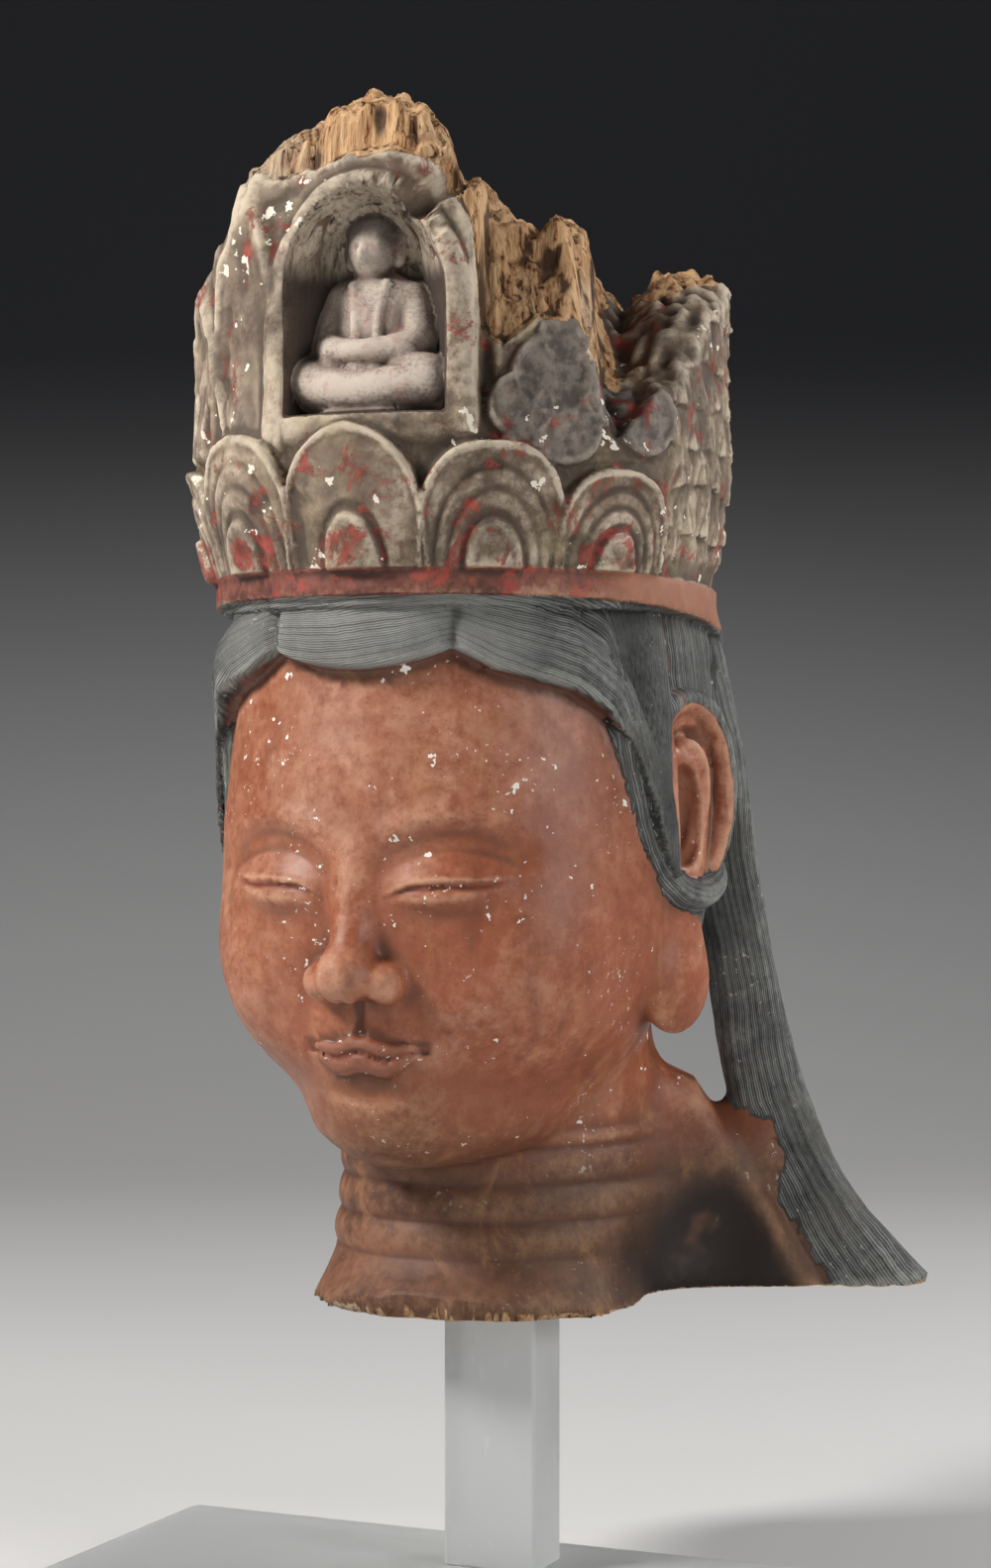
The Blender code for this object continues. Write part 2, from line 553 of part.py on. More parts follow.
def upper_relief(angle, z):
    """Upper tier: rim of the niche, leaves on one side of it and clouds on the other."""
    along = (angle - 2.5) * ARC
    arch = arch_size(along, z - NICHE_Z + 0.010, 0.0470, 0.0735)
    rim = ramp(1 - arch, -0.03, 0.03) * ramp(z, 0.515, 0.525)
    relief = rim * (0.0042 + 0.0015 * bump(arch - 0.86, 0.13))
    for centre, foot, tip, half in LEAVES:
        size = arch_size((angle - centre), z - foot, half, tip - foot)
        body = ramp(1 - size, -0.04, 0.10) * ramp(z, 0.515, 0.522)
        veins = 0.0020 * bump(size - 0.88, 0.14) - 0.0016 * bump(size - 0.58, 0.17) + 0.0012 * bump(size, 0.38)
        relief = np.maximum(relief, body * (0.0034 + veins))
    for centre, level, radius in CLOUDS:
        size = np.hypot((angle - centre) * ARC, z - level) / radius
        disc = ramp(1 - size, -0.02, 0.08)
        curl = 0.0012 * bump(size - 0.86, 0.12) + 0.0010 * bump(size, 0.7)
        relief = np.maximum(relief, disc * (0.0030 + curl))
    return relief


def scale_relief(points, angle, z):
    """Worn lattice of overlapping scales round the sides and back."""
    where = ramp(np.abs(angle), 66, 72) * ramp(z, BAND_TOP_Z + 0.004, BAND_TOP_Z + 0.010)
    drift = noise(points * 55.0, 5.0)
    row = (z - BAND_TOP_Z) / SCALE_TALL + 0.22 * drift
    column = angle * ARC / SCALE_WIDE + 0.5 * (np.floor(row) % 2) + 0.18 * noise(points * 48.0, 9.0)
    along = column - np.floor(column) - 0.5
    over = np.hypot(along * 1.9, (row - np.floor(row)) * 0.95)
    worn = 0.70 + 0.30 * noise(points * 30.0, 1.0)
    leaf = np.sqrt(np.clip(1 - over, 0, 1)) - 0.30 * bump(over - 0.45, 0.16) + 0.25 * bump(along, 0.06)
    return where * 0.0034 * worn * leaf


def crown_form(points):
    """The hollow-looking but solid crown: flared log, petals, niche, and the broken top."""
    x, y, z = points.T
    dropped = z + BAND_DROP * ramp(y, -0.10, 0.12) * ramp(0.50 - z, 0, 0.03)
    levels = (0.44, BAND_TOP_Z, 0.490, 0.515, 0.56, 0.61, CROWN_TOP_Z)
    flare = CROWN_FLARE * np.interp(dropped, levels, (-0.1, 0.0, 0.55, 1.0, 0.85, 1.0, 0.3))
    wide = BAND_HALF_WIDTH + flare
    deep = BAND_HALF_DEPTH + flare
    size = np.hypot(x / wide, y / deep)
    field = size * (size - 1) / np.maximum(np.hypot(x / wide ** 2, y / deep ** 2), 1e-6)
    angle = np.degrees(np.arctan2(x, -y))
    turned = angle - ORNAMENT_TURN
    depth, raw = raw_wood(points, angle, z)
    relief = np.maximum(petal_relief(turned, z), upper_relief(turned, z)) + scale_relief(points, turned, z)
    slot = bump(angle - 27.8, SLOT_HALF) * ramp(z, 0.530, 0.545)
    field = field - relief * (1 - raw) + depth + SLOT_DEPTH * slot
    return smooth_cut(field, (broken_top(points) - z) * 0.8, 0.004)


def band_form(points):
    x, y, z = points.T
    drop = BAND_DROP * ramp(y, -0.10, 0.12)
    size = np.hypot(x / (BAND_HALF_WIDTH + BAND_PROUD), y / (BAND_HALF_DEPTH + BAND_PROUD))
    field = (size - 1) * (BAND_HALF_WIDTH + BAND_PROUD)
    return np.maximum(field, np.maximum(BAND_LOW_Z - 1.1 * drop - z, z - BAND_TOP_Z + 0.4 * drop))


FACE_FORMS = skull_forms()
NOSE_FORMS = nose_forms()
FIGURE_FORMS = figure_forms()
STUB = mirrored(TRESS[:3] + (STUB_END,))
TRESS_FORMS = [Rope(TRESS, 0.010, (-0.45, 0.9, 0.0), TRESS_FLATNESS),
               Rope(STUB, 0.010, (0.45, 0.9, 0.0), TRESS_FLATNESS)]
EAR_FORMS = ear_forms(1) + ear_forms(-1)


def head_and_neck(points):
    head = cranium(points)
    for form in FACE_FORMS:
        form.apply(head, points)
    hair = head - hair_thickness(points)
    for form in NOSE_FORMS:
        form.apply(head, points)
    front = points[:, 1] < 0
    head[front] -= face_relief(points[front])
    low = points[:, 2] < BROW_Z
    neck = smooth_join(neck_form(points[low]), shoulder_form(points[low]), 0.014)
    Ball((0.120, 0.004, CHEST_Z + 0.026), (0.050, 0.066, 0.060), 0.006, cuts=True).apply(neck, points[low])
    head[low] = smooth_join(head[low], neck, 0.007)
    return smooth_join(head, hair, 0.0015)


def crown_and_band(points):
    crown = smooth_cut(crown_form(points), niche_hollow(points), 0.003)
    for form in FIGURE_FORMS:
        form.apply(crown, points)
    crown = np.maximum(crown, BAND_LOW_Z - 0.004 - points[:, 2])
    return smooth_join(crown, band_form(points), 0.0012)


def carving(world_points):
    """The head as one field: negative in the wood, zero on its surface."""
    points = world_points - HEAD_AXIS
    z = points[:, 2]
    head = np.full(len(points), 1.0)
    below = z < BAND_TOP_Z + 0.010
    above = z > BAND_LOW_Z - 0.030
    head[below] = head_and_neck(points[below])
    head[above] = smooth_join(head[above], crown_and_band(points[above]), 0.0012)
    for form in TRESS_FORMS + EAR_FORMS:
        form.apply(head, points)
    step = 0.0035 * ramp(points[:, :2] @ FACING, 0.074, 0.082)
    return smooth_cut(head, z - CHEST_Z - step, 0.0012)


def mesh_points(mesh):
    flat = np.empty(len(mesh.vertices) * 3, np.float32)
    mesh.vertices.foreach_get("co", flat)
    return flat.reshape(-1, 3).astype(float)


def move_onto_carving(block, rounds, longest):
    """Moves each point along the slope of the carving until it lies on its surface."""
    points = mesh_points(block.data)
    for _ in range(rounds):
        here = carving(points)
        slope = np.column_stack([(carving(points + PROBE * axis) - here) / PROBE for axis in np.eye(3)])
        move = -here[:, None] * slope / np.maximum((slope ** 2).sum(axis=1), 0.15)[:, None]
        length = np.sqrt((move ** 2).sum(axis=1))
        points += move * np.minimum(1.0, longest / np.maximum(length, 1e-9))[:, None]
    block.data.vertices.foreach_set("co", points.astype(np.float32).ravel())
    block.data.update()


def remesh(block, voxel):
    modifier = block.modifiers.new("Remesh", "REMESH")
    modifier.mode = "VOXEL"
    modifier.voxel_size = voxel
    bpy.context.view_layer.objects.active = block
    bpy.ops.object.modifier_apply(modifier=modifier.name)


def even_out(block):
    """Light smoothing, so that no point is left behind in a narrow place."""
    modifier = block.modifiers.new("Smooth", "SMOOTH")
    modifier.factor = 0.5
    modifier.iterations = 2
    bpy.context.view_layer.objects.active = block
    bpy.ops.object.modifier_apply(modifier=modifier.name)


def block_of_wood():
    """The rough block: big masses of head, crown, neck and shoulder, and every smaller form on them."""
    x, y, _ = HEAD_AXIS
    pieces = [form.block_out() for form in FACE_FORMS + NOSE_FORMS + FIGURE_FORMS + TRESS_FORMS + EAR_FORMS
              if not form.cuts]
    pieces.append(Ball((0, 0.003, 0.400), (SKULL_HALF_WIDTH, SKULL_HALF_DEPTH, 0.120), 0.01).block_out())
    for radius, depth, centre, scale in (
            (1.0, 0.150, (x, y, 0.530), (CROWN_HALF_WIDTH, CROWN_HALF_DEPTH, 1.0)),
            (1.0, 0.070, (x - 0.030, y - 0.030, 0.620), (0.065, 0.080, 1.0)),
            (1.0, 0.150, (x, y + NECK_BACK, 0.214), (NECK_HALF_WIDTH, NECK_HALF_WIDTH, 1.0))):
        bpy.ops.mesh.primitive_cylinder_add(vertices=64, radius=radius, depth=depth, location=centre)
        bpy.context.object.scale = scale
        pieces.append(bpy.context.object)
    wall = Rope(((0.030, 0.050, 0.175, 0.030), (0.090, 0.075, 0.165, 0.020),
                 (0.148, 0.103, 0.150, 0.012)), 0.01)
    pieces.append(wall.block_out())
    bpy.ops.object.select_all(action="DESELECT")
    for piece in pieces:
        piece.select_set(True)
    bpy.context.view_layer.objects.active = pieces[0]
    bpy.ops.object.join()
    block = bpy.context.object
    bpy.ops.object.transform_apply(location=True, rotation=True, scale=True)
    return block


def make_head():
    block = block_of_wood()
    remesh(block, FIRST_VOXEL)
    for voxel in (FIRST_VOXEL, FIRST_VOXEL, LAST_VOXEL):
        move_onto_carving(block, 4, 0.006)
        even_out(block)
        remesh(block, voxel)
    move_onto_carving(block, 2, 0.002)
    even_out(block)
    move_onto_carving(block, 3, 0.002)
    decimate = block.modifiers.new("Decimate", "DECIMATE")
    decimate.ratio = TRIANGLES / (2 * len(block.data.polygons))
    bpy.ops.object.modifier_apply(modifier=decimate.name)
    return block


def make_post():
    height = CHEST_Z - BASE_THICKNESS - 2 * REST_GAP
    bpy.ops.mesh.primitive_cube_add(size=1.0, location=(0.0, POST_Y, BASE_THICKNESS + REST_GAP + height / 2))
    post = bpy.context.object
    post.scale = (POST_WIDTH, POST_DEPTH, height)
    bpy.ops.object.transform_apply(location=False, rotation=False, scale=True)
    bevel = post.modifiers.new("Bevel", "BEVEL")
    bevel.width = POST_EDGE
    bevel.segments = 2
    return post


def make_base():
    bpy.ops.mesh.primitive_cube_add(size=1.0, location=(0.0, 0.0, BASE_THICKNESS / 2))
    base = bpy.context.object
    base.scale = (BASE_WIDTH, BASE_DEPTH, BASE_THICKNESS)
    bpy.ops.object.transform_apply(location=False, rotation=False, scale=True)
    bpy.context.object.data.attributes.new("bevel_weight_edge", "FLOAT", "EDGE")
    weights = base.data.attributes["bevel_weight_edge"].data
    for edge, weight in zip(base.data.edges, weights):
        low, high = (base.data.vertices[index].co for index in edge.vertices)
        weight.value = 1.0 if abs(low.z - high.z) > BASE_THICKNESS / 2 else 0.0
    corners = base.modifiers.new("Corners", "BEVEL")
    corners.limit_method = "WEIGHT"
    corners.width = BASE_CORNER
    corners.segments = 8
    edges = base.modifiers.new("Edges", "BEVEL")
    edges.limit_method = "ANGLE"
    edges.width = 0.0012
    edges.segments = 1
    return base


def finish(piece, name, colour, roughness, collection):
    """Names a piece, gives it its material and puts it in the object's collection."""
    piece.name = name
    piece.data.name = name
    material = bpy.data.materials.new(name)
    material.use_nodes = True
    shader = material.node_tree.nodes["Principled BSDF"]
    shader.inputs["Base Color"].default_value = (*colour, 1.0)
    shader.inputs["Roughness"].default_value = roughness
    shader.inputs["Metallic"].default_value = 0.0
    piece.data.materials.clear()
    piece.data.materials.append(material)
    for owner in list(piece.users_collection):
        owner.objects.unlink(piece)
    collection.objects.link(piece)


def main():
    for thing in list(bpy.data.objects):
        bpy.data.objects.remove(thing)
    collection = bpy.data.collections.new("bodhisattva_head")
    bpy.context.scene.collection.children.link(collection)
    finish(make_base(), "base", (0.62, 0.64, 0.66), 0.45, collection)
    finish(make_post(), "post", (0.62, 0.64, 0.66), 0.45, collection)
    finish(make_head(), "head", (0.30, 0.13, 0.07), 0.50, collection)


main()
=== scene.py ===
"""Dresses the carved bodhisattva head: worn wood, lacquer and gesso, on a frosted acrylic stand."""

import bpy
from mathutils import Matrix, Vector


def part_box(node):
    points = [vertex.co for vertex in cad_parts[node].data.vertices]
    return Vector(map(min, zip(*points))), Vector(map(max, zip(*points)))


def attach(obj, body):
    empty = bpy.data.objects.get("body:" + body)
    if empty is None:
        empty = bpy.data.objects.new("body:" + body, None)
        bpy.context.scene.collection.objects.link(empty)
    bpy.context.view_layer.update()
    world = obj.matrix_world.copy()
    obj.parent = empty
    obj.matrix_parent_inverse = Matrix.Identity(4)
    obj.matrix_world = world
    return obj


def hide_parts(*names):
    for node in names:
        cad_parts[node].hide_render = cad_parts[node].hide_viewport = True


bl_info = {
    "name": "Carved Head on a Stand",
    "version": (1, 0, 0),
    "blender": (4, 5, 0),
    "location": "3D View > Sidebar > Carved Head",
    "description": "Worn painted wood for the carved head and frosted acrylic for its stand",
    "category": "Object",
}

from math import cos, pi, radians, sin

import bpy
import numpy as np
from mathutils import Matrix, Vector

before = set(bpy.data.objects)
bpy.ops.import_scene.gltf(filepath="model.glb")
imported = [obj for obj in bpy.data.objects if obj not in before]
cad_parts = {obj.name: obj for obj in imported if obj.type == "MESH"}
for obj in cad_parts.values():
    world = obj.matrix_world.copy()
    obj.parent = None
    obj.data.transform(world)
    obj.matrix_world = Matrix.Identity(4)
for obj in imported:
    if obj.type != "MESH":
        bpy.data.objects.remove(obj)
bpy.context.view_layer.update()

# Stand
BASE_DEPTH = 0.250
BASE_CORNER = 0.012
POST_EDGE = 0.002
POST_FROM_BACK = 0.056

# Place of the head's axis from the post
HEAD_SIDEWAYS = -0.016
HEAD_BACK = -0.002

# Heights
CHEST_Z = 0.1390
CHIN_Z = 0.2115
HAIRLINE_Z = 0.4277
BAND_LOW_Z = 0.4555
BAND_TOP_Z = 0.4675
NICHE_Z = 0.5700
CROWN_TOP_Z = 0.6890

# Widths and depths, from the axis. The skull lies inside the band and the crown flares out over it.
BAND_HALF_WIDTH = 0.1075
BAND_HALF_DEPTH = 0.1245
SKULL_INSIDE_BAND = 0.0060
CROWN_FLARE = 0.0090
NECK_HALF_WIDTH = 0.0700
NECK_BACK = 0.030
HAIR_THICKNESS = 0.0070
SWAG_THICKNESS = 0.0050
BAND_PROUD = 0.0035
BAND_DROP = 0.010

# Carving
RING_STEP = 0.0165
PETAL_STEP = 27.0
PETAL_HALF = 15.2
PETAL_SQUARE = 2.7
PETAL_PROUD = 0.0060
ORNAMENT_TURN = 2.5
NICHE_SIDEWAYS = 0.0110
NICHE_HALF_WIDTH = 0.0360
NICHE_DEPTH = 0.0330
NICHE_SPRING = 0.0100
NICHE_HEAD = 0.0460
NICHE_FLOOR_Z = 0.5320
FIGURE_SIDEWAYS = 0.0065
SCALE_WIDE = 0.0215
SCALE_TALL = 0.0190
TRESS_FLATNESS = 1.5
SLOT_HALF = 2.6
SLOT_DEPTH = 0.006
BROKEN_FACE_TURN = 24.0

# The eye that saw the broken top's outline: height, and distance from the head's axis
EYE_Z = 0.376
EYE_DISTANCE = 1.455

# Mesh
PROBE = 0.0004

POST_Y = BASE_DEPTH / 2 - POST_FROM_BACK
HEAD_AXIS = np.array((HEAD_SIDEWAYS, POST_Y + HEAD_BACK, 0.0))
SKULL_HALF_WIDTH = BAND_HALF_WIDTH - SKULL_INSIDE_BAND
SKULL_HALF_DEPTH = BAND_HALF_DEPTH - SKULL_INSIDE_BAND
CROWN_HALF_WIDTH = BAND_HALF_WIDTH + CROWN_FLARE
CROWN_HALF_DEPTH = BAND_HALF_DEPTH + CROWN_FLARE
FACE_HEIGHT = HAIRLINE_Z - CHIN_Z
BROW_Z = HAIRLINE_Z - FACE_HEIGHT / 3
NOSE_Z = HAIRLINE_Z - FACE_HEIGHT * 2 / 3
RING_RADIUS = (CROWN_HALF_WIDTH + CROWN_HALF_DEPTH) / 2
ARC = RING_RADIUS * pi / 180
FACING = np.array((cos(radians(BROKEN_FACE_TURN)), sin(radians(BROKEN_FACE_TURN))))
AWAY = np.array((-FACING[1], FACING[0]))

# Where the carved surface of the crown ends and raw wood begins: ring angle, height
CARVED_LIMIT = (
    (-180, 0.600), (-110, 0.600), (-75, 0.606), (-60, 0.618), (-40, 0.630), (-27, 0.641), (-13, 0.634),
    (-5, 0.634), (1, 0.640), (10, 0.642), (19, 0.634), (25, 0.612), (27, 0.566), (31, 0.560), (38, 0.573),
    (46, 0.573), (51, 0.556), (60, 0.546), (66, 0.546), (72, 0.560), (80, 0.584), (110, 0.603),
    (180, 0.600))

# Broken top of the crown, seen from the broken face: distance across, height below the highest point
TOP_OUTLINE = (
    (-0.125, 0.089), (-0.112, 0.067), (-0.104, 0.044), (-0.083, 0.022), (-0.065, 0.009), (-0.040, 0.000),
    (-0.020, 0.006), (-0.008, 0.022), (-0.001, 0.042), (0.004, 0.038), (0.019, 0.056), (0.033, 0.065),
    (0.040, 0.056), (0.053, 0.063), (0.057, 0.085), (0.070, 0.099), (0.085, 0.085), (0.099, 0.081),
    (0.117, 0.083), (0.130, 0.095))

# Upper edge of the broken shoulder: distance across, height
SHOULDER_RIDGE = (
    (0.05, 0.262), (0.080, 0.250), (0.106, 0.2385), (0.125, 0.208), (0.143, 0.179), (0.167, 0.141))

# The long tress: place and half width at each point
TRESS = (
    (0.0900, 0.0520, 0.4400, 0.0130), (0.0960, 0.0620, 0.3900, 0.0145), (0.1000, 0.0730, 0.3300, 0.0150),
    (0.1060, 0.0840, 0.2700, 0.0165), (0.1170, 0.0930, 0.2150, 0.0190), (0.1340, 0.1010, 0.1720, 0.0215),
    (0.1690, 0.1130, 0.1270, 0.0240))
STUB_END = (0.1010, 0.0790, 0.2950, 0.0105)

# The lock that passes in front of the ear and under it
SIDE_LOCK = (
    (0.0900, -0.0560, 0.4260, 0.0065), (0.0940, -0.0490, 0.4020, 0.0066), (0.0965, -0.0430, 0.3780, 0.0064),
    (0.0990, -0.0370, 0.3560, 0.0062), (0.1025, -0.0260, 0.3390, 0.0062), (0.1075, -0.0100, 0.3285, 0.0064),
    (0.1110, 0.0080, 0.3270, 0.0066), (0.1100, 0.0240, 0.3330, 0.0064), (0.1030, 0.0380, 0.3430, 0.0060))

# Ear, on its own plane: along, height from the ear's middle, outwards, half width
EAR_Z = 0.3700
EAR_OUT = 0.0975
EAR_LEAN = 14.0
EAR_RIM = (
    (-0.0215, -0.0200, 0.003, 0.0048), (-0.0265, 0.0000, 0.006, 0.0048), (-0.0240, 0.0220, 0.008, 0.0050),
    (-0.0130, 0.0385, 0.009, 0.0054), (0.0020, 0.0430, 0.009, 0.0058), (0.0170, 0.0370, 0.010, 0.0060),
    (0.0270, 0.0200, 0.011, 0.0058), (0.0290, -0.0020, 0.011, 0.0056), (0.0240, -0.0240, 0.009, 0.0054),
    (0.0130, -0.0400, 0.006, 0.0050))
EAR_FOLD = (
    (-0.0100, 0.0150, 0.007, 0.0030), (0.0000, 0.0230, 0.009, 0.0036), (0.0095, 0.0160, 0.010, 0.0042),
    (0.0130, -0.0020, 0.009, 0.0042), (0.0080, -0.0200, 0.007, 0.0036), (-0.0010, -0.0320, 0.005, 0.0030))

# Petals of the lower tier: place in the row, tip, how pointed
PETALS = ((-2, 0.517, 0.0), (2, 0.511, 0.0), (-1, 0.528, 0.0), (1, 0.521, 0.0), (0, 0.530, 0.12))

# Leaves and clouds of the upper tier: angle, foot, tip or level, half angle or radius
LEAVES = ((-25.5, 0.530, 0.636, 12.5), (-47.0, 0.525, 0.600, 11.0), (-66.0, 0.530, 0.612, 10.0),
          (-37.0, 0.500, 0.560, 7.5), (-56.0, 0.500, 0.556, 8.0))
CLOUDS = ((41.0, 0.5650, 0.0125), (38.5, 0.5480, 0.0190), (50.5, 0.5430, 0.0150), (32.0, 0.5350, 0.0150),
          (61.5, 0.5350, 0.0190), (41.0, 0.5290, 0.0190))


# Eyes: how far they lie under the brow, and the upper lid's edge as place and rise
EYE_DROP = 0.0185
UPPER_LID = ((0.016, -0.0085), (0.026, -0.0042), (0.040, -0.0030), (0.055, -0.0030), (0.068, -0.0010))


def smooth_join(a, b, blend):
    """Union of two forms, rounded over the width of the blend."""
    h = np.clip(0.5 + 0.5 * (b - a) / blend, 0.0, 1.0)
    return b + (a - b) * h - blend * h * (1.0 - h)


def smooth_cut(a, b, blend):
    """First form less the second."""
    return -smooth_join(-a, b, blend)


def ramp(value, low, high):
    t = np.clip((value - low) / (high - low), 0.0, 1.0)
    return t * t * (3.0 - 2.0 * t)


def bump(distance, reach):
    t = np.clip(1.0 - (distance / reach) ** 2, 0.0, 1.0)
    return t * t


def smooth_path(points, steps=4):
    """Points of a smooth curve through the given ones."""
    points = np.asarray(points, float)
    ends = np.vstack((2 * points[0] - points[1], points, 2 * points[-1] - points[-2]))
    path = []
    for before, here, after, beyond in zip(ends, ends[1:], ends[2:], ends[3:]):
        for t in np.arange(steps) / steps:
            path.append(here + 0.5 * (after - before) * t
                        + (before - 2.5 * here + 2 * after - 0.5 * beyond) * t * t
                        + 0.5 * (3 * here - before - 3 * after + beyond) * t ** 3)
    path.append(points[-1])
    return np.array(path)


def noise(points, seed=0.0):
    """Smooth noise between -1 and 1 at points measured in its own cells."""
    cell = np.floor(points)
    share = points - cell
    share = share * share * (3.0 - 2.0 * share)
    total = np.zeros(len(points))
    for corner in np.ndindex(2, 2, 2):
        place = cell + corner
        value = np.sin(place @ np.array((12.9898, 78.233, 37.719)) + seed) * 43758.5453
        weight = np.prod(np.where(corner, share, 1.0 - share), axis=1)
        total += weight * (value - np.floor(value))
    return 2.0 * total - 1.0


class Ball:
    """An ellipsoid that is joined to the form, or cut from it."""

    def __init__(self, centre, radii, blend, axes=None, cuts=False):
        self.centre = np.array(centre, float)
        self.radii = np.array(radii, float)
        self.blend = blend
        self.axes = np.eye(3) if axes is None else axes
        self.cuts = cuts

    def apply(self, field, points):
        reach = self.radii.max() + self.blend
        near = np.flatnonzero((np.abs(points - self.centre) < reach).all(axis=1))
        local = (points[near] - self.centre) @ self.axes
        size = np.sqrt(((local / self.radii) ** 2).sum(axis=1))
        slope = np.sqrt(((local / self.radii ** 2) ** 2).sum(axis=1))
        distance = size * (size - 1.0) / np.maximum(slope, 1e-9)
        join = smooth_cut if self.cuts else smooth_join
        field[near] = join(field[near], distance, self.blend)

    def block_out(self):
        bpy.ops.mesh.primitive_uv_sphere_add(segments=32, ring_count=20)
        ball = bpy.context.object
        seat = np.eye(4)
        seat[:3, :3] = self.axes * self.radii
        seat[:3, 0] *= np.sign(np.linalg.det(self.axes))
        seat[:3, 3] = self.centre + HEAD_AXIS
        ball.matrix_world = Matrix(seat)
        return ball


class Rope:
    """A rounded band along a smooth path, flattened along one direction if wanted."""

    def __init__(self, path, blend, across=None, flatness=1.0):
        self.path = smooth_path(path)
        self.blend = blend
        self.squeeze = np.eye(3)
        if across is not None:
            across = np.array(across) / np.sqrt(np.dot(across, across))
            self.squeeze += np.outer(across, across) * (flatness - 1.0)
        self.cuts = False

    def apply(self, field, points):
        places, widths = self.path[:, :3], self.path[:, 3]
        reach = widths.max() + self.blend
        inside = (points > places.min(axis=0) - reach) & (points < places.max(axis=0) + reach)
        near = np.flatnonzero(inside.all(axis=1))
        local = points[near] @ self.squeeze
        ends = places @ self.squeeze
        distance = np.full(len(near), reach)
        for start, end, wide, narrow in zip(ends, ends[1:], widths, widths[1:]):
            run = end - start
            share = np.clip((local - start) @ run / (run @ run), 0.0, 1.0)
            gap = np.sqrt(((local - start - share[:, None] * run) ** 2).sum(axis=1))
            distance = np.minimum(distance, gap - wide - (narrow - wide) * share)
        field[near] = smooth_join(field[near], distance, self.blend)

    def block_out(self):
        curve = bpy.data.curves.new("rope", "CURVE")
        curve.dimensions = "3D"
        curve.bevel_depth = 1.0
        curve.bevel_resolution = 2
        curve.use_fill_caps = True
        spline = curve.splines.new("POLY")
        spline.points.add(len(self.path) - 1)
        for point, (x, y, z, width) in zip(spline.points, self.path):
            point.co = (x + HEAD_AXIS[0], y + HEAD_AXIS[1], z, 1.0)
            point.radius = width / np.linalg.norm(self.squeeze, 2) ** 0.5
        guide = bpy.data.objects.new("rope", curve)
        bpy.context.collection.objects.link(guide)
        graph = bpy.context.evaluated_depsgraph_get()
        rope = bpy.data.objects.new("rope_mesh",
                                    bpy.data.meshes.new_from_object(guide.evaluated_get(graph)))
        bpy.context.collection.objects.link(rope)
        bpy.data.objects.remove(guide)
        return rope


def mirrored(path):
    return [(-x, y, z, width) for x, y, z, width in path]


def skull_forms():
    """Cheeks, mouth, chin and the soft roll under it, on the smooth cranium."""
    return [
        Ball((0, -0.016, 0.328), (SKULL_HALF_WIDTH + 0.001, 0.101, 0.1185), 0.030),
        Ball((0.043, -0.062, 0.298), (0.041, 0.041, 0.043), 0.024),
        Ball((-0.043, -0.062, 0.298), (0.041, 0.041, 0.043), 0.024),
        Ball((0, -0.079, 0.265), (0.036, 0.030, 0.033), 0.022),
        Ball((0, -0.0760, CHIN_Z + 0.0215), (0.025, 0.0225, 0.0205), 0.022),
        Ball((0, -0.040, CHIN_Z + 0.0170), (0.052, 0.048, 0.0190), 0.020),
    ]


def nose_forms():
    forms = [
        Rope(((0, -0.1085, BROW_Z - 0.002, 0.0080), (0, -0.1150, BROW_Z - 0.020, 0.0076),
              (0, -0.1190, BROW_Z - 0.042, 0.0088), (0, -0.1235, BROW_Z - 0.058, 0.0105)), 0.008),
        Ball((0, -0.1245, NOSE_Z + 0.0105), (0.0125, 0.0140, 0.0115), 0.007),
    ]
    for side in (1, -1):
        forms.append(Ball((side * 0.0148, -0.1160, NOSE_Z + 0.0080), (0.0085, 0.0130, 0.0088), 0.005))
        nostril = (side * 0.0078, -0.1225, NOSE_Z - 0.0010)
        forms.append(Ball(nostril, (0.0040, 0.0062, 0.0040), 0.002, cuts=True))
    return forms


def ear_forms(side):
    lean = radians(EAR_LEAN)
    along = np.array((side * sin(lean), cos(lean), 0.0))
    out = np.array((side * cos(lean), -sin(lean), 0.0))
    axes = np.column_stack((along, out, (0.0, 0.0, 1.0)))
    seat = np.array((side * EAR_OUT, 0.0, EAR_Z))

    def place(a, height, n):
        return seat + along * a + out * n + np.array((0.0, 0.0, height))

    def path(points):
        return [(*place(a, height, n), width) for a, height, n, width in points]

    return [
        Ball(place(0.001, 0.000, 0.000), (0.0285, 0.0085, 0.0460), 0.006, axes),
        Rope(path(EAR_RIM), 0.002),
        Ball(place(-0.004, -0.008, 0.012), (0.0125, 0.0120, 0.0230), 0.002, axes, cuts=True),
        Ball(place(0.003, 0.026, 0.0125), (0.0160, 0.0070, 0.0065), 0.002, axes, cuts=True),
        Rope(path(EAR_FOLD), 0.0015),
        Ball(place(-0.019, -0.011, 0.008), (0.0050, 0.0050, 0.0085), 0.002, axes),
        Ball(place(-0.001, -0.056, 0.003), (0.0185, 0.0100, 0.0330), 0.004, axes),
        Ball(place(0.000, -0.081, 0.0035), (0.0220, 0.0115, 0.0240), 0.006, axes),
        Rope([(side * x, y, z, width) for x, y, z, width in SIDE_LOCK], 0.003),
    ]


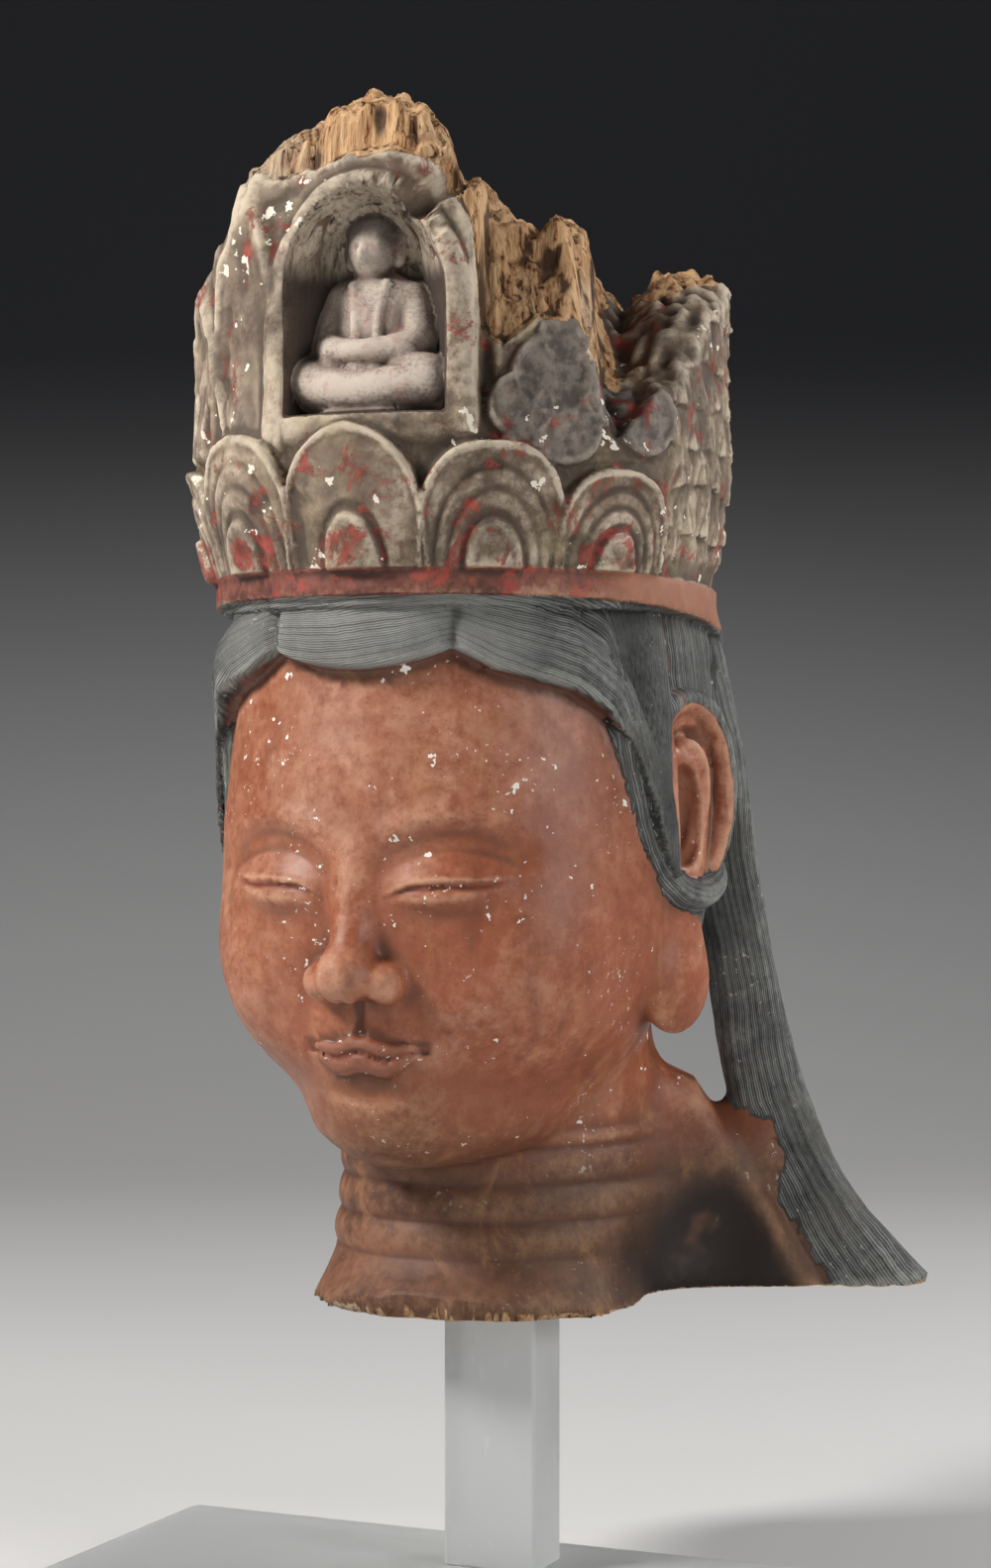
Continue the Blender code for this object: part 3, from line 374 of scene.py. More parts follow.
def figure_forms():
    """The small seated figure, hands in its lap, in the hollowed niche."""
    level = NICHE_Z

    def at(x, y, z):
        return (FIGURE_SIDEWAYS + x, y, level + z)

    forms = [
        Ball(at(0, -0.1050, -0.0330), (0.0390, 0.0190, 0.0075), 0.003),
        Ball(at(0, -0.1070, 0.0000), (0.0180, 0.0125, 0.0270), 0.003),
        Ball(at(0, -0.1065, 0.0115), (0.0215, 0.0110, 0.0110), 0.004),
    ]
    for side in (1, -1):
        forms.append(Rope((
            (*at(side * 0.0155, -0.1065, 0.0130), 0.0066), (*at(side * 0.0195, -0.1080, 0.0020), 0.0074),
            (*at(side * 0.0200, -0.1110, -0.0070), 0.0074), (*at(side * 0.0140, -0.1180, -0.0100), 0.0062),
            (*at(side * 0.0050, -0.1225, -0.0105), 0.0050)), 0.0022))
        forms.append(Rope(((*at(side * 0.0190, -0.1140, -0.0090), 0.0060),
                           (*at(side * 0.0160, -0.1185, -0.0170), 0.0054)), 0.002))
        forms.append(Ball(at(side * 0.0250, -0.1140, -0.0230), (0.0125, 0.0140, 0.0112), 0.002))
        forms.append(Rope((
            (*at(side * 0.0280, -0.1170, -0.0235), 0.0094), (*at(side * 0.0090, -0.1230, -0.0270), 0.0084),
            (*at(side * -0.0090, -0.1235, -0.0295), 0.0064)), 0.0018))
        forms.append(Rope(((*at(side * 0.0108, -0.1085, 0.0390), 0.0022),
                           (*at(side * 0.0108, -0.1090, 0.0280), 0.0028)), 0.001))
        forms.append(Rope(((*at(side * 0.0080, -0.1150, 0.0180), 0.0022),
                           (*at(side * 0.0056, -0.1180, 0.0060), 0.0022),
                           (*at(side * 0.0052, -0.1190, -0.0060), 0.0020)), 0.001))
    forms += [
        Ball(at(0, -0.1245, -0.0105), (0.0095, 0.0046, 0.0044), 0.0015),
        Rope(((*at(0, -0.1080, 0.0170), 0.0066), (*at(0, -0.1095, 0.0260), 0.0064)), 0.002),
        Ball(at(0, -0.1120, 0.0330), (0.0104, 0.0108, 0.0126), 0.0015),
        Ball(at(0, -0.1090, 0.0385), (0.0116, 0.0122, 0.0100), 0.0010),
        Ball(at(0, -0.1225, 0.0310), (0.0020, 0.0022, 0.0036), 0.0015),
        Ball(at(0.0044, -0.1228, 0.0338), (0.0028, 0.0016, 0.0013), 0.001, cuts=True),
        Ball(at(-0.0044, -0.1228, 0.0338), (0.0028, 0.0016, 0.0013), 0.001, cuts=True),
        Ball(at(0, -0.1222, 0.0250), (0.0034, 0.0018, 0.0009), 0.001, cuts=True),
    ]
    return forms


def niche_hollow(points):
    """The hollow behind the figure: upright sides, a round head and a flat floor."""
    rise = np.maximum(points[:, 2] - NICHE_Z - NICHE_SPRING, 0.0)
    size = np.sqrt(((points[:, 0] - NICHE_SIDEWAYS) / NICHE_HALF_WIDTH) ** 2
                   + ((points[:, 1] + CROWN_HALF_DEPTH) / NICHE_DEPTH) ** 2 + (rise / NICHE_HEAD) ** 2)
    return np.maximum((size - 1) * NICHE_DEPTH, NICHE_FLOOR_Z - points[:, 2])


def face_curve(x, z, path):
    """Distance on the plane of the face to a smooth curve, and the share of the way along it."""
    points = smooth_path(path)
    nearest = np.full(len(x), 1.0)
    share = np.zeros(len(x))
    count = len(points) - 1
    for index, (start, end) in enumerate(zip(points, points[1:])):
        run = end - start
        t = np.clip(((x - start[0]) * run[0] + (z - start[1]) * run[1]) / (run @ run), 0.0, 1.0)
        distance = np.hypot(x - start[0] - t * run[0], z - start[1] - t * run[1])
        closer = distance < nearest
        nearest[closer] = distance[closer]
        share[closer] = (index + t[closer]) / count
    return nearest, share


def eye_relief(x, z):
    """Lowered eyes: socket, ball under a heavy lid, the slit and the fold above."""
    eye_x, eye_z = 0.0405, BROW_Z - EYE_DROP
    slant = (x - eye_x) * 0.06
    socket = np.hypot((x - eye_x) / 0.033, (z - eye_z - 0.006 - slant) / 0.0175)
    ball = np.hypot((x - eye_x) / 0.0275, (z - eye_z - slant) / 0.0165)
    relief = 0.0085 * bump(ball, 1.12) - 0.0068 * bump(socket, 1.18)
    upper = [(place, eye_z + rise) for place, rise in UPPER_LID]
    lower = ((0.016, eye_z - 0.0085), (0.028, eye_z - 0.0105), (0.041, eye_z - 0.0105),
             (0.055, eye_z - 0.0075), (0.066, eye_z - 0.0025))
    fold = ((0.018, eye_z + 0.002), (0.030, eye_z + 0.0095), (0.045, eye_z + 0.0115),
            (0.060, eye_z + 0.0075), (0.070, eye_z + 0.001))
    to_upper, along = face_curve(x, z, upper)
    above = ramp(z - np.interp(x, *np.transpose(upper)), -0.001, 0.0008)
    relief += 0.0017 * bump(to_upper, 0.0042) * above * bump(along - 0.5, 0.62)
    relief -= 0.0022 * bump(to_upper, 0.0040) * (1 - above) * bump(along - 0.45, 0.60)
    to_lower, along = face_curve(x, z, lower)
    relief += 0.0009 * bump(to_lower, 0.0035) * bump(along - 0.5, 0.65)
    to_fold, along = face_curve(x, z, fold)
    return relief - 0.0009 * bump(to_fold, 0.0030) * bump(along - 0.5, 0.6)


def mouth_relief(x, z):
    """Small full lips, the groove above them and the hollow below."""
    lip_z, half = NOSE_Z - 0.0235, 0.0255
    line = lip_z + 0.0016 * np.cos(np.clip(x / 0.012, 0, 1) * pi) + 0.0032 * ramp(x, 0.011, 0.025)
    wide = np.sqrt(np.clip(1 - (x / half) ** 2, 0, 1))
    above = (z - line) / (0.0080 * wide ** 1.1 * (1 - 0.16 * bump(x, 0.0045)) + 1e-5)
    below = (line - z) / (0.0092 * wide ** 1.3 + 1e-5)
    crest = np.sqrt(np.clip(1 - (2 * np.maximum(above, below) - 0.95) ** 2, 0, 1))
    relief = 0.0036 * crest * wide ** 0.8
    relief -= 0.0014 * bump(z - line, 0.0017) * ramp(0.030 - x, 0, 0.004)
    relief -= 0.0016 * bump(np.hypot(x - 0.0265, z - lip_z - 0.004), 0.0055)
    groove = ramp(z, lip_z + 0.005, lip_z + 0.009) * ramp(NOSE_Z + 0.004 - z, 0, 0.005)
    relief -= 0.0016 * bump(x, 0.0042) * groove
    return relief - 0.0030 * bump(np.hypot(x / 2.6, z - lip_z + 0.0150), 0.0085)


def face_relief(points):
    x, z = np.abs(points[:, 0]), points[:, 2]
    brow = ((0.010, BROW_Z - 0.014), (0.015, BROW_Z - 0.004), (0.026, BROW_Z + 0.0035),
            (0.043, BROW_Z + 0.0065), (0.060, BROW_Z + 0.002), (0.074, BROW_Z - 0.008))
    cheek = ((0.021, NOSE_Z + 0.006), (0.028, NOSE_Z - 0.004), (0.0345, NOSE_Z - 0.018))
    relief = eye_relief(x, z) + mouth_relief(x, z)
    to_brow, along = face_curve(x, z, brow)
    relief += 0.0020 * bump(to_brow, 0.0095) * ramp(along, 0.0, 0.30) * (1 - 0.7 * along)
    to_cheek, along = face_curve(x, z, cheek)
    relief -= 0.0011 * bump(to_cheek, 0.0085) * bump(along - 0.4, 0.8)
    return relief * ramp(-points[:, 1], 0.020, 0.050)


def cranium(points):
    form = Ball((0, 0.003, 0.400), (SKULL_HALF_WIDTH, SKULL_HALF_DEPTH, 0.160), 0.01)
    field = np.full(len(points), 1.0)
    form.apply(field, points)
    return field


def hair_edge(angle):
    """Height of the hairline at an angle from the middle of the face, either side alike."""
    swags = np.interp(angle, (21, 30, 40, 48, 57, 64, 69, 74, 80),
                      (0.0055, -0.0035, -0.0085, -0.0119, -0.0215, -0.038, -0.060, -0.085, -0.100))
    return HAIRLINE_Z + np.where(angle < 21, 0.0088 * (angle / 21) ** 2 - 0.0033, swags)


def hair_cover(angle, above, z):
    """One where hair covers the head: above the hairline in front, to the nape behind."""
    back = ramp(angle, 76, 92)
    nape = np.interp(angle, (80, 100, 125, 150), (0.322, 0.310, 0.262, 0.240))
    return np.maximum(ramp(above, -0.0016, 0.0020) * (1 - back), back * ramp(z - nape, -0.008, 0.012))


def hair_thickness(points):
    """Hair as a layer on the head: rolled swags over the brow, then plain down the back."""
    x, y, z = points.T
    angle = np.degrees(np.abs(np.arctan2(x, -y)))
    above = z - hair_edge(angle)
    front = ramp(75 - angle, 0, 12)
    roll = np.sqrt(np.clip(1 - ((above - 0.015) / 0.019) ** 2, 0, 1))
    swag = np.where(angle < 21, 0.7 * bump(angle / 21, 1.15), bump((angle - 42) / 21, 1.2))
    thick = HAIR_THICKNESS * (1 + front * (1.10 * roll - 0.70)) + SWAG_THICKNESS * swag * front * roll
    cover = hair_cover(angle, above, z)
    parting = bump(angle - 21, 2.6) * ramp(above, 0, 0.004) * front
    return thick * cover - 0.003 * (1 - cover) - 0.0030 * parting


def neck_form(points):
    """Ringed neck, cut off across the chest."""
    x, y, z = points.T
    half = NECK_HALF_WIDTH * np.interp(z, (0.130, 0.145, 0.165, 0.19, 0.22, 0.26),
                                       (1.18, 1.12, 1.04, 1.00, 0.985, 1.03))
    rings = np.abs(np.sin(pi * (z - CHEST_Z - 0.0245) / RING_STEP)) ** 0.7
    half = half + 0.0026 * rings * ramp(z, 0.160, 0.166) * ramp(0.222 - z, 0, 0.006)
    field = (np.hypot(x / half, (y - NECK_BACK) / half) - 1) * half
    chest = Ball((0, 0.020, CHEST_Z - 0.021), (0.083, 0.098, 0.052), 0.014)
    chest.apply(field, points)
    return field


def shoulder_form(points):
    """What is left of the left shoulder: a wall in plan, under a sloping broken ridge."""
    x, y, z = points.T
    start, end = np.array((0.020, 0.045)), np.array((0.148, 0.103))
    run = end - start
    share = np.clip(((x - start[0]) * run[0] + (y - start[1]) * run[1]) / (run @ run), 0, 1)
    plan = np.hypot(x - start[0] - share * run[0], y - start[1] - share * run[1])
    plan = plan - np.interp(share, (0, 0.5, 1.0), (0.040, 0.022, 0.013))
    ridge = np.interp(points[:, :2] @ FACING, *np.transpose(SHOULDER_RIDGE))
    return smooth_cut(plan, (ridge - z) * 0.62, 0.012)


def broken_top(points):
    """Height of the crown's broken top over each place. Its outline is the one the eye sees."""
    away = points[:, :2] @ AWAY
    nearness = (EYE_DISTANCE + away) / EYE_DISTANCE
    across = points[:, :2] @ FACING / nearness
    top = CROWN_TOP_Z - np.interp(across, *np.transpose(TOP_OUTLINE))
    top = EYE_Z + (top - EYE_Z) * nearness
    behind_hump = ramp(-across, -0.006, 0.014) * ramp(away, -0.045, 0.070)
    top = top - 0.075 * behind_hump
    lump_slope = ramp(across, 0.052, 0.064) * ramp(-away, 0.010, 0.095)
    top = top - 0.048 * lump_slope
    top += 0.0030 * noise(points * np.array((210.0, 210.0, 0.0)), 5.0)
    return top + 0.005 * noise(points * np.array((90.0, 90.0, 20.0)), 3.0)


def raw_wood(points, angle, z):
    """How far the broken wood lies inside the carved surface, and where it does."""
    limit = np.interp(angle, *np.transpose(CARVED_LIMIT)) + 0.003 * noise(points * 60.0, 11.0)
    over = z - limit
    where = ramp(over, -0.0005, 0.0030)
    cliff = ramp(angle, 26, 30) * ramp(66 - angle, 0, 6)
    block = bump(angle - 46, 5.5) * ramp(0.622 - z, 0, 0.004)
    fibres = noise(points * np.array((75.0, 75.0, 9.0)), 7.0)
    depth = 0.0045 + (0.10 + 0.30 * cliff) * np.maximum(over, 0.0) - 0.010 * block * cliff
    return where * (depth + (0.0022 + 0.0015 * cliff) * fibres), where


def arch_size(along, height, wide, tall, point=0.0):
    """One on the outline of an arch with its foot at height 0, less inside it."""
    return np.hypot((np.abs(along) / wide + point) / (1 + point), np.maximum(height, 0.0) / tall)


def petal_relief(angle, z):
    """Lower tier: a row of broad petals with inner arcs and a half round at each foot."""
    relief = np.zeros(len(z))
    height = np.maximum(z - BAND_TOP_Z, 0.0)
    for step, tip, point in PETALS:
        along = np.abs(angle - step * PETAL_STEP) / PETAL_HALF
        tall = tip - BAND_TOP_Z
        rise = height / tall + point * along
        outline = (along ** PETAL_SQUARE + rise ** PETAL_SQUARE) ** (1 / PETAL_SQUARE)
        round_size = np.hypot(along, height / tall)
        body = ramp(1 - outline, -0.015, 0.05) * ramp(z, BAND_TOP_Z - 0.004, BAND_TOP_Z)
        swell = PETAL_PROUD * (0.75 + 0.45 * bump(height / tall - 0.55, 0.9) * bump(along, 1.2))
        rim = 0.0016 * bump(outline - 0.94, 0.06)
        arcs = 0.0010 * (bump(round_size - 0.78, 0.06) + bump(round_size - 0.60, 0.06)) * (step != 0)
        boss = 0.0028 * ramp(0.37 - round_size, -0.02, 0.05) - 0.0012 * bump(round_size - 0.42, 0.06)
        relief = np.maximum(relief, body * (swell + rim + boss - arcs))
    return relief


def upper_relief(angle, z):
    """Upper tier: rim of the niche, leaves on one side of it and clouds on the other."""
    along = (angle - 2.5) * ARC
    arch = arch_size(along, z - NICHE_Z + 0.010, 0.0470, 0.0735)
    rim = ramp(1 - arch, -0.03, 0.03) * ramp(z, 0.515, 0.525)
    relief = rim * (0.0042 + 0.0015 * bump(arch - 0.86, 0.13))
    for centre, foot, tip, half in LEAVES:
        size = arch_size((angle - centre), z - foot, half, tip - foot)
        body = ramp(1 - size, -0.04, 0.10) * ramp(z, 0.515, 0.522)
        veins = 0.0020 * bump(size - 0.88, 0.14) - 0.0016 * bump(size - 0.58, 0.17)
        veins += 0.0012 * bump(size, 0.38)
        relief = np.maximum(relief, body * (0.0034 + veins))
    for centre, level, radius in CLOUDS:
        size = np.hypot((angle - centre) * ARC, z - level) / radius
        disc = ramp(1 - size, -0.02, 0.08)
        curl = 0.0012 * bump(size - 0.86, 0.12) + 0.0010 * bump(size, 0.7)
        relief = np.maximum(relief, disc * (0.0030 + curl))
    return relief


def scale_relief(points, angle, z):
    """Worn lattice of overlapping scales round the sides and back."""
    where = ramp(np.abs(angle), 66, 72) * ramp(z, BAND_TOP_Z + 0.004, BAND_TOP_Z + 0.010)
    drift = noise(points * 55.0, 5.0)
    row = (z - BAND_TOP_Z) / SCALE_TALL + 0.22 * drift
    column = angle * ARC / SCALE_WIDE + 0.5 * (np.floor(row) % 2) + 0.18 * noise(points * 48.0, 9.0)
    along = column - np.floor(column) - 0.5
    over = np.hypot(along * 1.9, (row - np.floor(row)) * 0.95)
    worn = 0.70 + 0.30 * noise(points * 30.0, 1.0)
    leaf = np.sqrt(np.clip(1 - over, 0, 1)) - 0.30 * bump(over - 0.45, 0.16) + 0.25 * bump(along, 0.06)
    return where * 0.0034 * worn * leaf


def crown_form(points):
    """The hollow-looking but solid crown: flared log, petals, niche, and the broken top."""
    x, y, z = points.T
    dropped = z + BAND_DROP * ramp(y, -0.10, 0.12) * ramp(0.50 - z, 0, 0.03)
    levels = (0.44, BAND_TOP_Z, 0.490, 0.515, 0.56, 0.61, CROWN_TOP_Z)
    flare = CROWN_FLARE * np.interp(dropped, levels, (-0.1, 0.0, 0.55, 1.0, 0.85, 1.0, 0.3))
    wide = BAND_HALF_WIDTH + flare
    deep = BAND_HALF_DEPTH + flare
    size = np.hypot(x / wide, y / deep)
    field = size * (size - 1) / np.maximum(np.hypot(x / wide ** 2, y / deep ** 2), 1e-6)
    angle = np.degrees(np.arctan2(x, -y))
    turned = angle - ORNAMENT_TURN
    depth, raw = raw_wood(points, angle, z)
    relief = np.maximum(petal_relief(turned, z), upper_relief(turned, z)) + scale_relief(points, turned, z)
    slot = bump(angle - 27.8, SLOT_HALF) * ramp(z, 0.530, 0.545)
    field = field - relief * (1 - raw) + depth + SLOT_DEPTH * slot
    return smooth_cut(field, (broken_top(points) - z) * 0.8, 0.004)


def band_form(points):
    x, y, z = points.T
    drop = BAND_DROP * ramp(y, -0.10, 0.12)
    size = np.hypot(x / (BAND_HALF_WIDTH + BAND_PROUD), y / (BAND_HALF_DEPTH + BAND_PROUD))
    field = (size - 1) * (BAND_HALF_WIDTH + BAND_PROUD)
    return np.maximum(field, np.maximum(BAND_LOW_Z - 1.1 * drop - z, z - BAND_TOP_Z + 0.4 * drop))


FACE_FORMS = skull_forms()
NOSE_FORMS = nose_forms()
FIGURE_FORMS = figure_forms()
STUB = mirrored(TRESS[:3] + (STUB_END,))
TRESS_FORMS = [Rope(TRESS, 0.010, (-0.45, 0.9, 0.0), TRESS_FLATNESS),
               Rope(STUB, 0.010, (0.45, 0.9, 0.0), TRESS_FLATNESS)]
EAR_FORMS = ear_forms(1) + ear_forms(-1)
TRESS_ROOT = Ball((0.101, 0.083, 0.203), (0.022, 0.013, 0.024), 0.008)


def head_and_neck(points):
    head = cranium(points)
    for form in FACE_FORMS:
        form.apply(head, points)
    hair = head - hair_thickness(points)
    for form in NOSE_FORMS:
        form.apply(head, points)
    front = points[:, 1] < 0
    head[front] -= face_relief(points[front])
    low = points[:, 2] < BROW_Z
    neck = smooth_join(neck_form(points[low]), shoulder_form(points[low]), 0.014)
    Ball((0.120, 0.004, CHEST_Z + 0.026), (0.050, 0.066, 0.060), 0.006, cuts=True).apply(neck, points[low])
    head[low] = smooth_join(head[low], neck, 0.007)
    return smooth_join(head, hair, 0.0015)


def crown_and_band(points):
    crown = smooth_cut(crown_form(points), niche_hollow(points), 0.003)
    for form in FIGURE_FORMS:
        form.apply(crown, points)
    crown = np.maximum(crown, BAND_LOW_Z - 0.004 - points[:, 2])
    return smooth_join(crown, band_form(points), 0.0012)


def carving(world_points):
    """The head as one field: negative in the wood, zero on its surface."""
    points = world_points - HEAD_AXIS
    z = points[:, 2]
    head = np.full(len(points), 1.0)
    below = z < BAND_TOP_Z + 0.010
    above = z > BAND_LOW_Z - 0.030
    head[below] = head_and_neck(points[below])
    head[above] = smooth_join(head[above], crown_and_band(points[above]), 0.0012)
    for form in TRESS_FORMS + EAR_FORMS + [TRESS_ROOT]:
        form.apply(head, points)
    step = 0.0035 * ramp(points[:, :2] @ FACING, 0.074, 0.082)
    return smooth_cut(head, z - CHEST_Z - step, 0.0012)


# Floor, backdrop and camera, which looks level and is turned by degrees
FLOOR_SIZE = 8.0
FLOOR_GAP = 0.0002
BACKDROP_TALL = 5.0
BACKDROP_BEND = 2.4
CAMERA_PLACE = (0.587, -1.257)
CAMERA_TURN = 24.0

# Finer relief
ROUGH_VOXEL = 0.0026
FINE_VOXEL = 0.00135
HEAD_TRIANGLES = 192000
BEAD = 0.0040
# Index of the hair cap among the figure's forms
FIGURE_CAP = -5
# Painted half rounds at the petals' feet: ring angles, half width and height
BOSS_ANGLES = (-48.0, -21.0, 1.0, 27.5, 54.5)
BOSS_HALF_WIDTH = 0.0155
BOSS_HEIGHT = 0.0185
# Heights between which the niche's smooth wall turns into bare wood
BARE_WALL = (0.585, 0.600)
# Painted shadow, partly the dark paint of the hollow, on the broken shoulder: distance across, height, half
# width and half height
SHADOW_ACROSS = 0.127
SHADOW_Z = 0.156
SHADOW_HALF_WIDTH = 0.062
SHADOW_HALF_HEIGHT = 0.044
# Longest step of a point towards the carving, in the three passes
LONG_STEP = 0.006
MIDDLE_STEP = 0.003
SHORT_STEP = 0.002


def ear_zone(side):
    lean = radians(EAR_LEAN)
    along = (side * sin(lean), cos(lean), 0.0)
    out = (side * cos(lean), -sin(lean), 0.0)
    axes = np.column_stack((along, out, (0.0, 0.0, 1.0)))
    return Ball((side * (EAR_OUT + 0.003), 0.001, EAR_Z), (0.0330, 0.0240, 0.0480), 0.001, axes)


EAR_ZONES = [ear_zone(1), ear_zone(-1)]


def from_curve(path, a, b):
    """Signed distance on a plane to one side of a path."""
    nearest = np.full(len(a), 1.0)
    beside = np.zeros(len(a))
    for start, end in zip(path, path[1:]):
        run = end - start
        length = np.hypot(*run)
        along = np.clip(((a - start[0]) * run[0] + (b - start[1]) * run[1]) / length ** 2, 0.0, 1.0)
        gap_a = a - start[0] - along * run[0]
        gap_b = b - start[1] - along * run[1]
        distance = np.hypot(gap_a, gap_b)
        closer = distance < nearest
        nearest[closer] = distance[closer]
        beside[closer] = (distance * np.sign(run[0] * gap_b - run[1] * gap_a))[closer]
    return beside


def form_distance(forms, points):
    """Distance outside a few joined forms, one metre where they are far away."""
    field = np.full(len(points), 1.0)
    for form in forms:
        form.apply(field, points)
    return field


def band_edges(points):
    """Heights of the band's lower and upper edge over each place."""
    drop = BAND_DROP * ramp(points[:, 1], -0.10, 0.12)
    return BAND_LOW_Z - 1.1 * drop, BAND_TOP_Z - 0.4 * drop


def hair_strands(points):
    """Where hair is, and a number that grows by one from each strand to the next."""
    x, y, z = points.T
    angle = np.degrees(np.abs(np.arctan2(x, -y)))
    edge = hair_edge(angle)
    low, _ = band_edges(points)
    rise = (z - edge) / np.maximum(low - edge, 0.01)
    wave = 0.45 * noise(points * 32.0, 21.0)
    turned = np.degrees(np.arctan2(x, -y))
    fall = np.where(angle < 21, 2.6 * (21 - turned) / 42, 3.4 * (angle - 21) / 38)
    front = rise * 9.0 + fall
    side = angle * ARC / BEAD
    turn = ramp(angle, 60, 80)
    strand = front * (1 - turn) + side * turn + wave
    hair = hair_cover(angle, z - edge, z) * ramp(low + 0.0006 - z, -0.0004, 0.0004)
    hair *= ramp(form_distance(EAR_ZONES, points), -0.0010, 0.0010)
    across = points[:, :2] @ FACING
    for form in TRESS_FORMS:
        path = form.path
        middle = np.column_stack(((path[:, :2] @ FACING), path[:, 2]))
        near = form_distance([form], points) < 0.0028
        width = np.interp(-z, -path[:, 2], path[:, 3])
        on_tress = from_curve(middle, across, z) / width * 5.0 + 0.4 * np.sin(z * 60.0)
        strand = np.where(near, on_tress, strand)
        hair = np.maximum(hair, near)
    for side_lock in (EAR_FORMS[8], EAR_FORMS[17]):
        near = form_distance([side_lock], points) < 0.0016
        strand = np.where(near, from_curve(side_lock.path[:, 1:3], y, z) / 0.0026, strand)
        hair = np.maximum(hair, near)
    return hair, strand


def crown_zones(points):
    """Shares of carved crown, raw wood, band, figure and niche at each point."""
    x, y, z = points.T
    angle = np.degrees(np.arctan2(x, -y))
    low, top = band_edges(points)
    crown = ramp(z - top, -0.0008, 0.0004)
    band = ramp(z - low, -0.0006, 0.0006) * (1 - crown)
    limit = np.interp(angle, *np.transpose(CARVED_LIMIT)) + 0.003 * noise(points * 60.0, 11.0)
    raw = ramp(z - limit + 0.0015 * noise(points * 230.0, 4.0), -0.0010, 0.0022)
    figure = ramp(form_distance(FIGURE_FORMS, points), 0.0022, 0.0008)
    niche = ramp(niche_hollow(points), 0.0016, 0.0002) * (1 - figure) * ramp(-y, 0.05, 0.06)
    raw = raw * (1 - figure) * (1 - niche)
    return crown, band, raw, figure, niche


def fine_relief(points, normals):
    """How far each point stands out from the smooth carving: strands, fibres, chips and wear."""
    hair, strand = hair_strands(points)
    crown, band, raw, figure, niche = crown_zones(points)
    skin = (1 - hair) * (1 - crown) * (1 - band)
    ridge = np.abs(np.sin(pi * strand / 2.0))
    depth = 0.0008 + 0.0004 * noise(points * 24.0, 33.0)
    relief = hair * (depth * ridge ** 0.7 - 0.0005 + 0.0003 * noise(points * 120.0, 31.0))
    relief += skin * (0.00030 * noise(points * 75.0, 41.0) + 0.00012 * noise(points * 260.0, 43.0))
    chips = ramp(noise(points * 95.0, 51.0), 0.30, 0.42) * ramp(noise(points * 28.0, 53.0), -0.2, 0.2)
    gesso = crown * (1 - raw) * (1 - figure) * (1 - niche)
    relief += gesso * (0.0007 * noise(points * 70.0, 55.0) + 0.00035 * noise(points * 210.0, 57.0))
    relief -= gesso * 0.0008 * chips
    relief += band * (0.0004 * noise(points * 110.0, 59.0) - 0.0004 * chips)
    relief += figure * 0.00025 * noise(points * 240.0, 61.0)
    fibre = noise(points * np.array((210.0, 210.0, 16.0)), 71.0)
    hair_line = noise(points * np.array((380.0, 380.0, 26.0)), 73.0)
    crack = ramp(np.abs(noise(points * np.array((130.0, 130.0, 9.0)), 75.0)), 0.10, 0.02)
    upright = 1 - 0.75 * np.abs(normals[:, 2])
    splinters = np.round(2.2 * noise(points * np.array((150.0, 150.0, 11.0)), 79.0)) / 2.2
    relief += raw * upright * (0.0010 * fibre + 0.0007 * hair_line + 0.0012 * splinters - 0.0024 * crack)
    pits = noise(points * np.array((260.0, 260.0, 90.0)), 77.0)
    tips = noise(points * np.array((240.0, 240.0, 0.0)), 83.0)
    relief += raw * (1 - upright) * (0.0016 * pits + 0.0030 * tips)
    relief += niche * ramp(points[:, 2], *BARE_WALL) * (0.0008 * fibre - 0.0014 * crack)
    return relief


def mesh_points(mesh):
    flat = np.empty(len(mesh.vertices) * 3, np.float32)
    mesh.vertices.foreach_get("co", flat)
    return flat.reshape(-1, 3).astype(float)


def mesh_normals(mesh):
    flat = np.empty(len(mesh.vertices) * 3, np.float32)
    mesh.vertex_normals.foreach_get("vector", flat)
    return flat.reshape(-1, 3).astype(float)


def place_points(mesh, points):
    mesh.vertices.foreach_set("co", points.astype(np.float32).ravel())
    mesh.update()


def move_onto_carving(piece, rounds, longest):
    """Moves each point along the slope of the carving until it lies on its surface."""
    points = mesh_points(piece.data)
    for _ in range(rounds):
        here = carving(points)
        slope = np.column_stack([(carving(points + PROBE * axis) - here) / PROBE for axis in np.eye(3)])
        move = -here[:, None] * slope / np.maximum((slope ** 2).sum(axis=1), 0.15)[:, None]
        length = np.sqrt((move ** 2).sum(axis=1))
        points += move * np.minimum(1.0, longest / np.maximum(length, 1e-9))[:, None]
    place_points(piece.data, points)


def edge_ends(mesh):
    flat = np.empty(len(mesh.edges) * 2, np.int32)
    mesh.edges.foreach_get("vertices", flat)
    return flat.reshape(-1, 2).T


def neighbour_mean(values, ends):
    """Mean of each point's neighbours along the edges."""
    total = np.zeros_like(values)
    count = np.zeros(len(values))
    for here, there in (ends, ends[::-1]):
        count += np.bincount(here, minlength=len(values))
        for column in range(values.shape[1]):
            total[:, column] += np.bincount(here, values[there, column], minlength=len(values))
    return total / np.maximum(count, 1.0)[:, None]


def bend(world, reach):
    """How the carving bends round each point, in metres: positive on a swelling, negative in a hollow."""
    round_about = np.array(((1, 1, 1), (1, -1, -1), (-1, 1, -1), (-1, -1, 1))) * reach / 3 ** 0.5
    return np.mean([carving(world + step) for step in round_about], axis=0) - carving(world)


def smooth_points(piece, rounds, share):
    """Evens out points that the projection has left uneven."""
    ends = edge_ends(piece.data)
    points = mesh_points(piece.data)
    for _ in range(rounds):
        points += share * (neighbour_mean(points, ends) - points)
    place_points(piece.data, points)


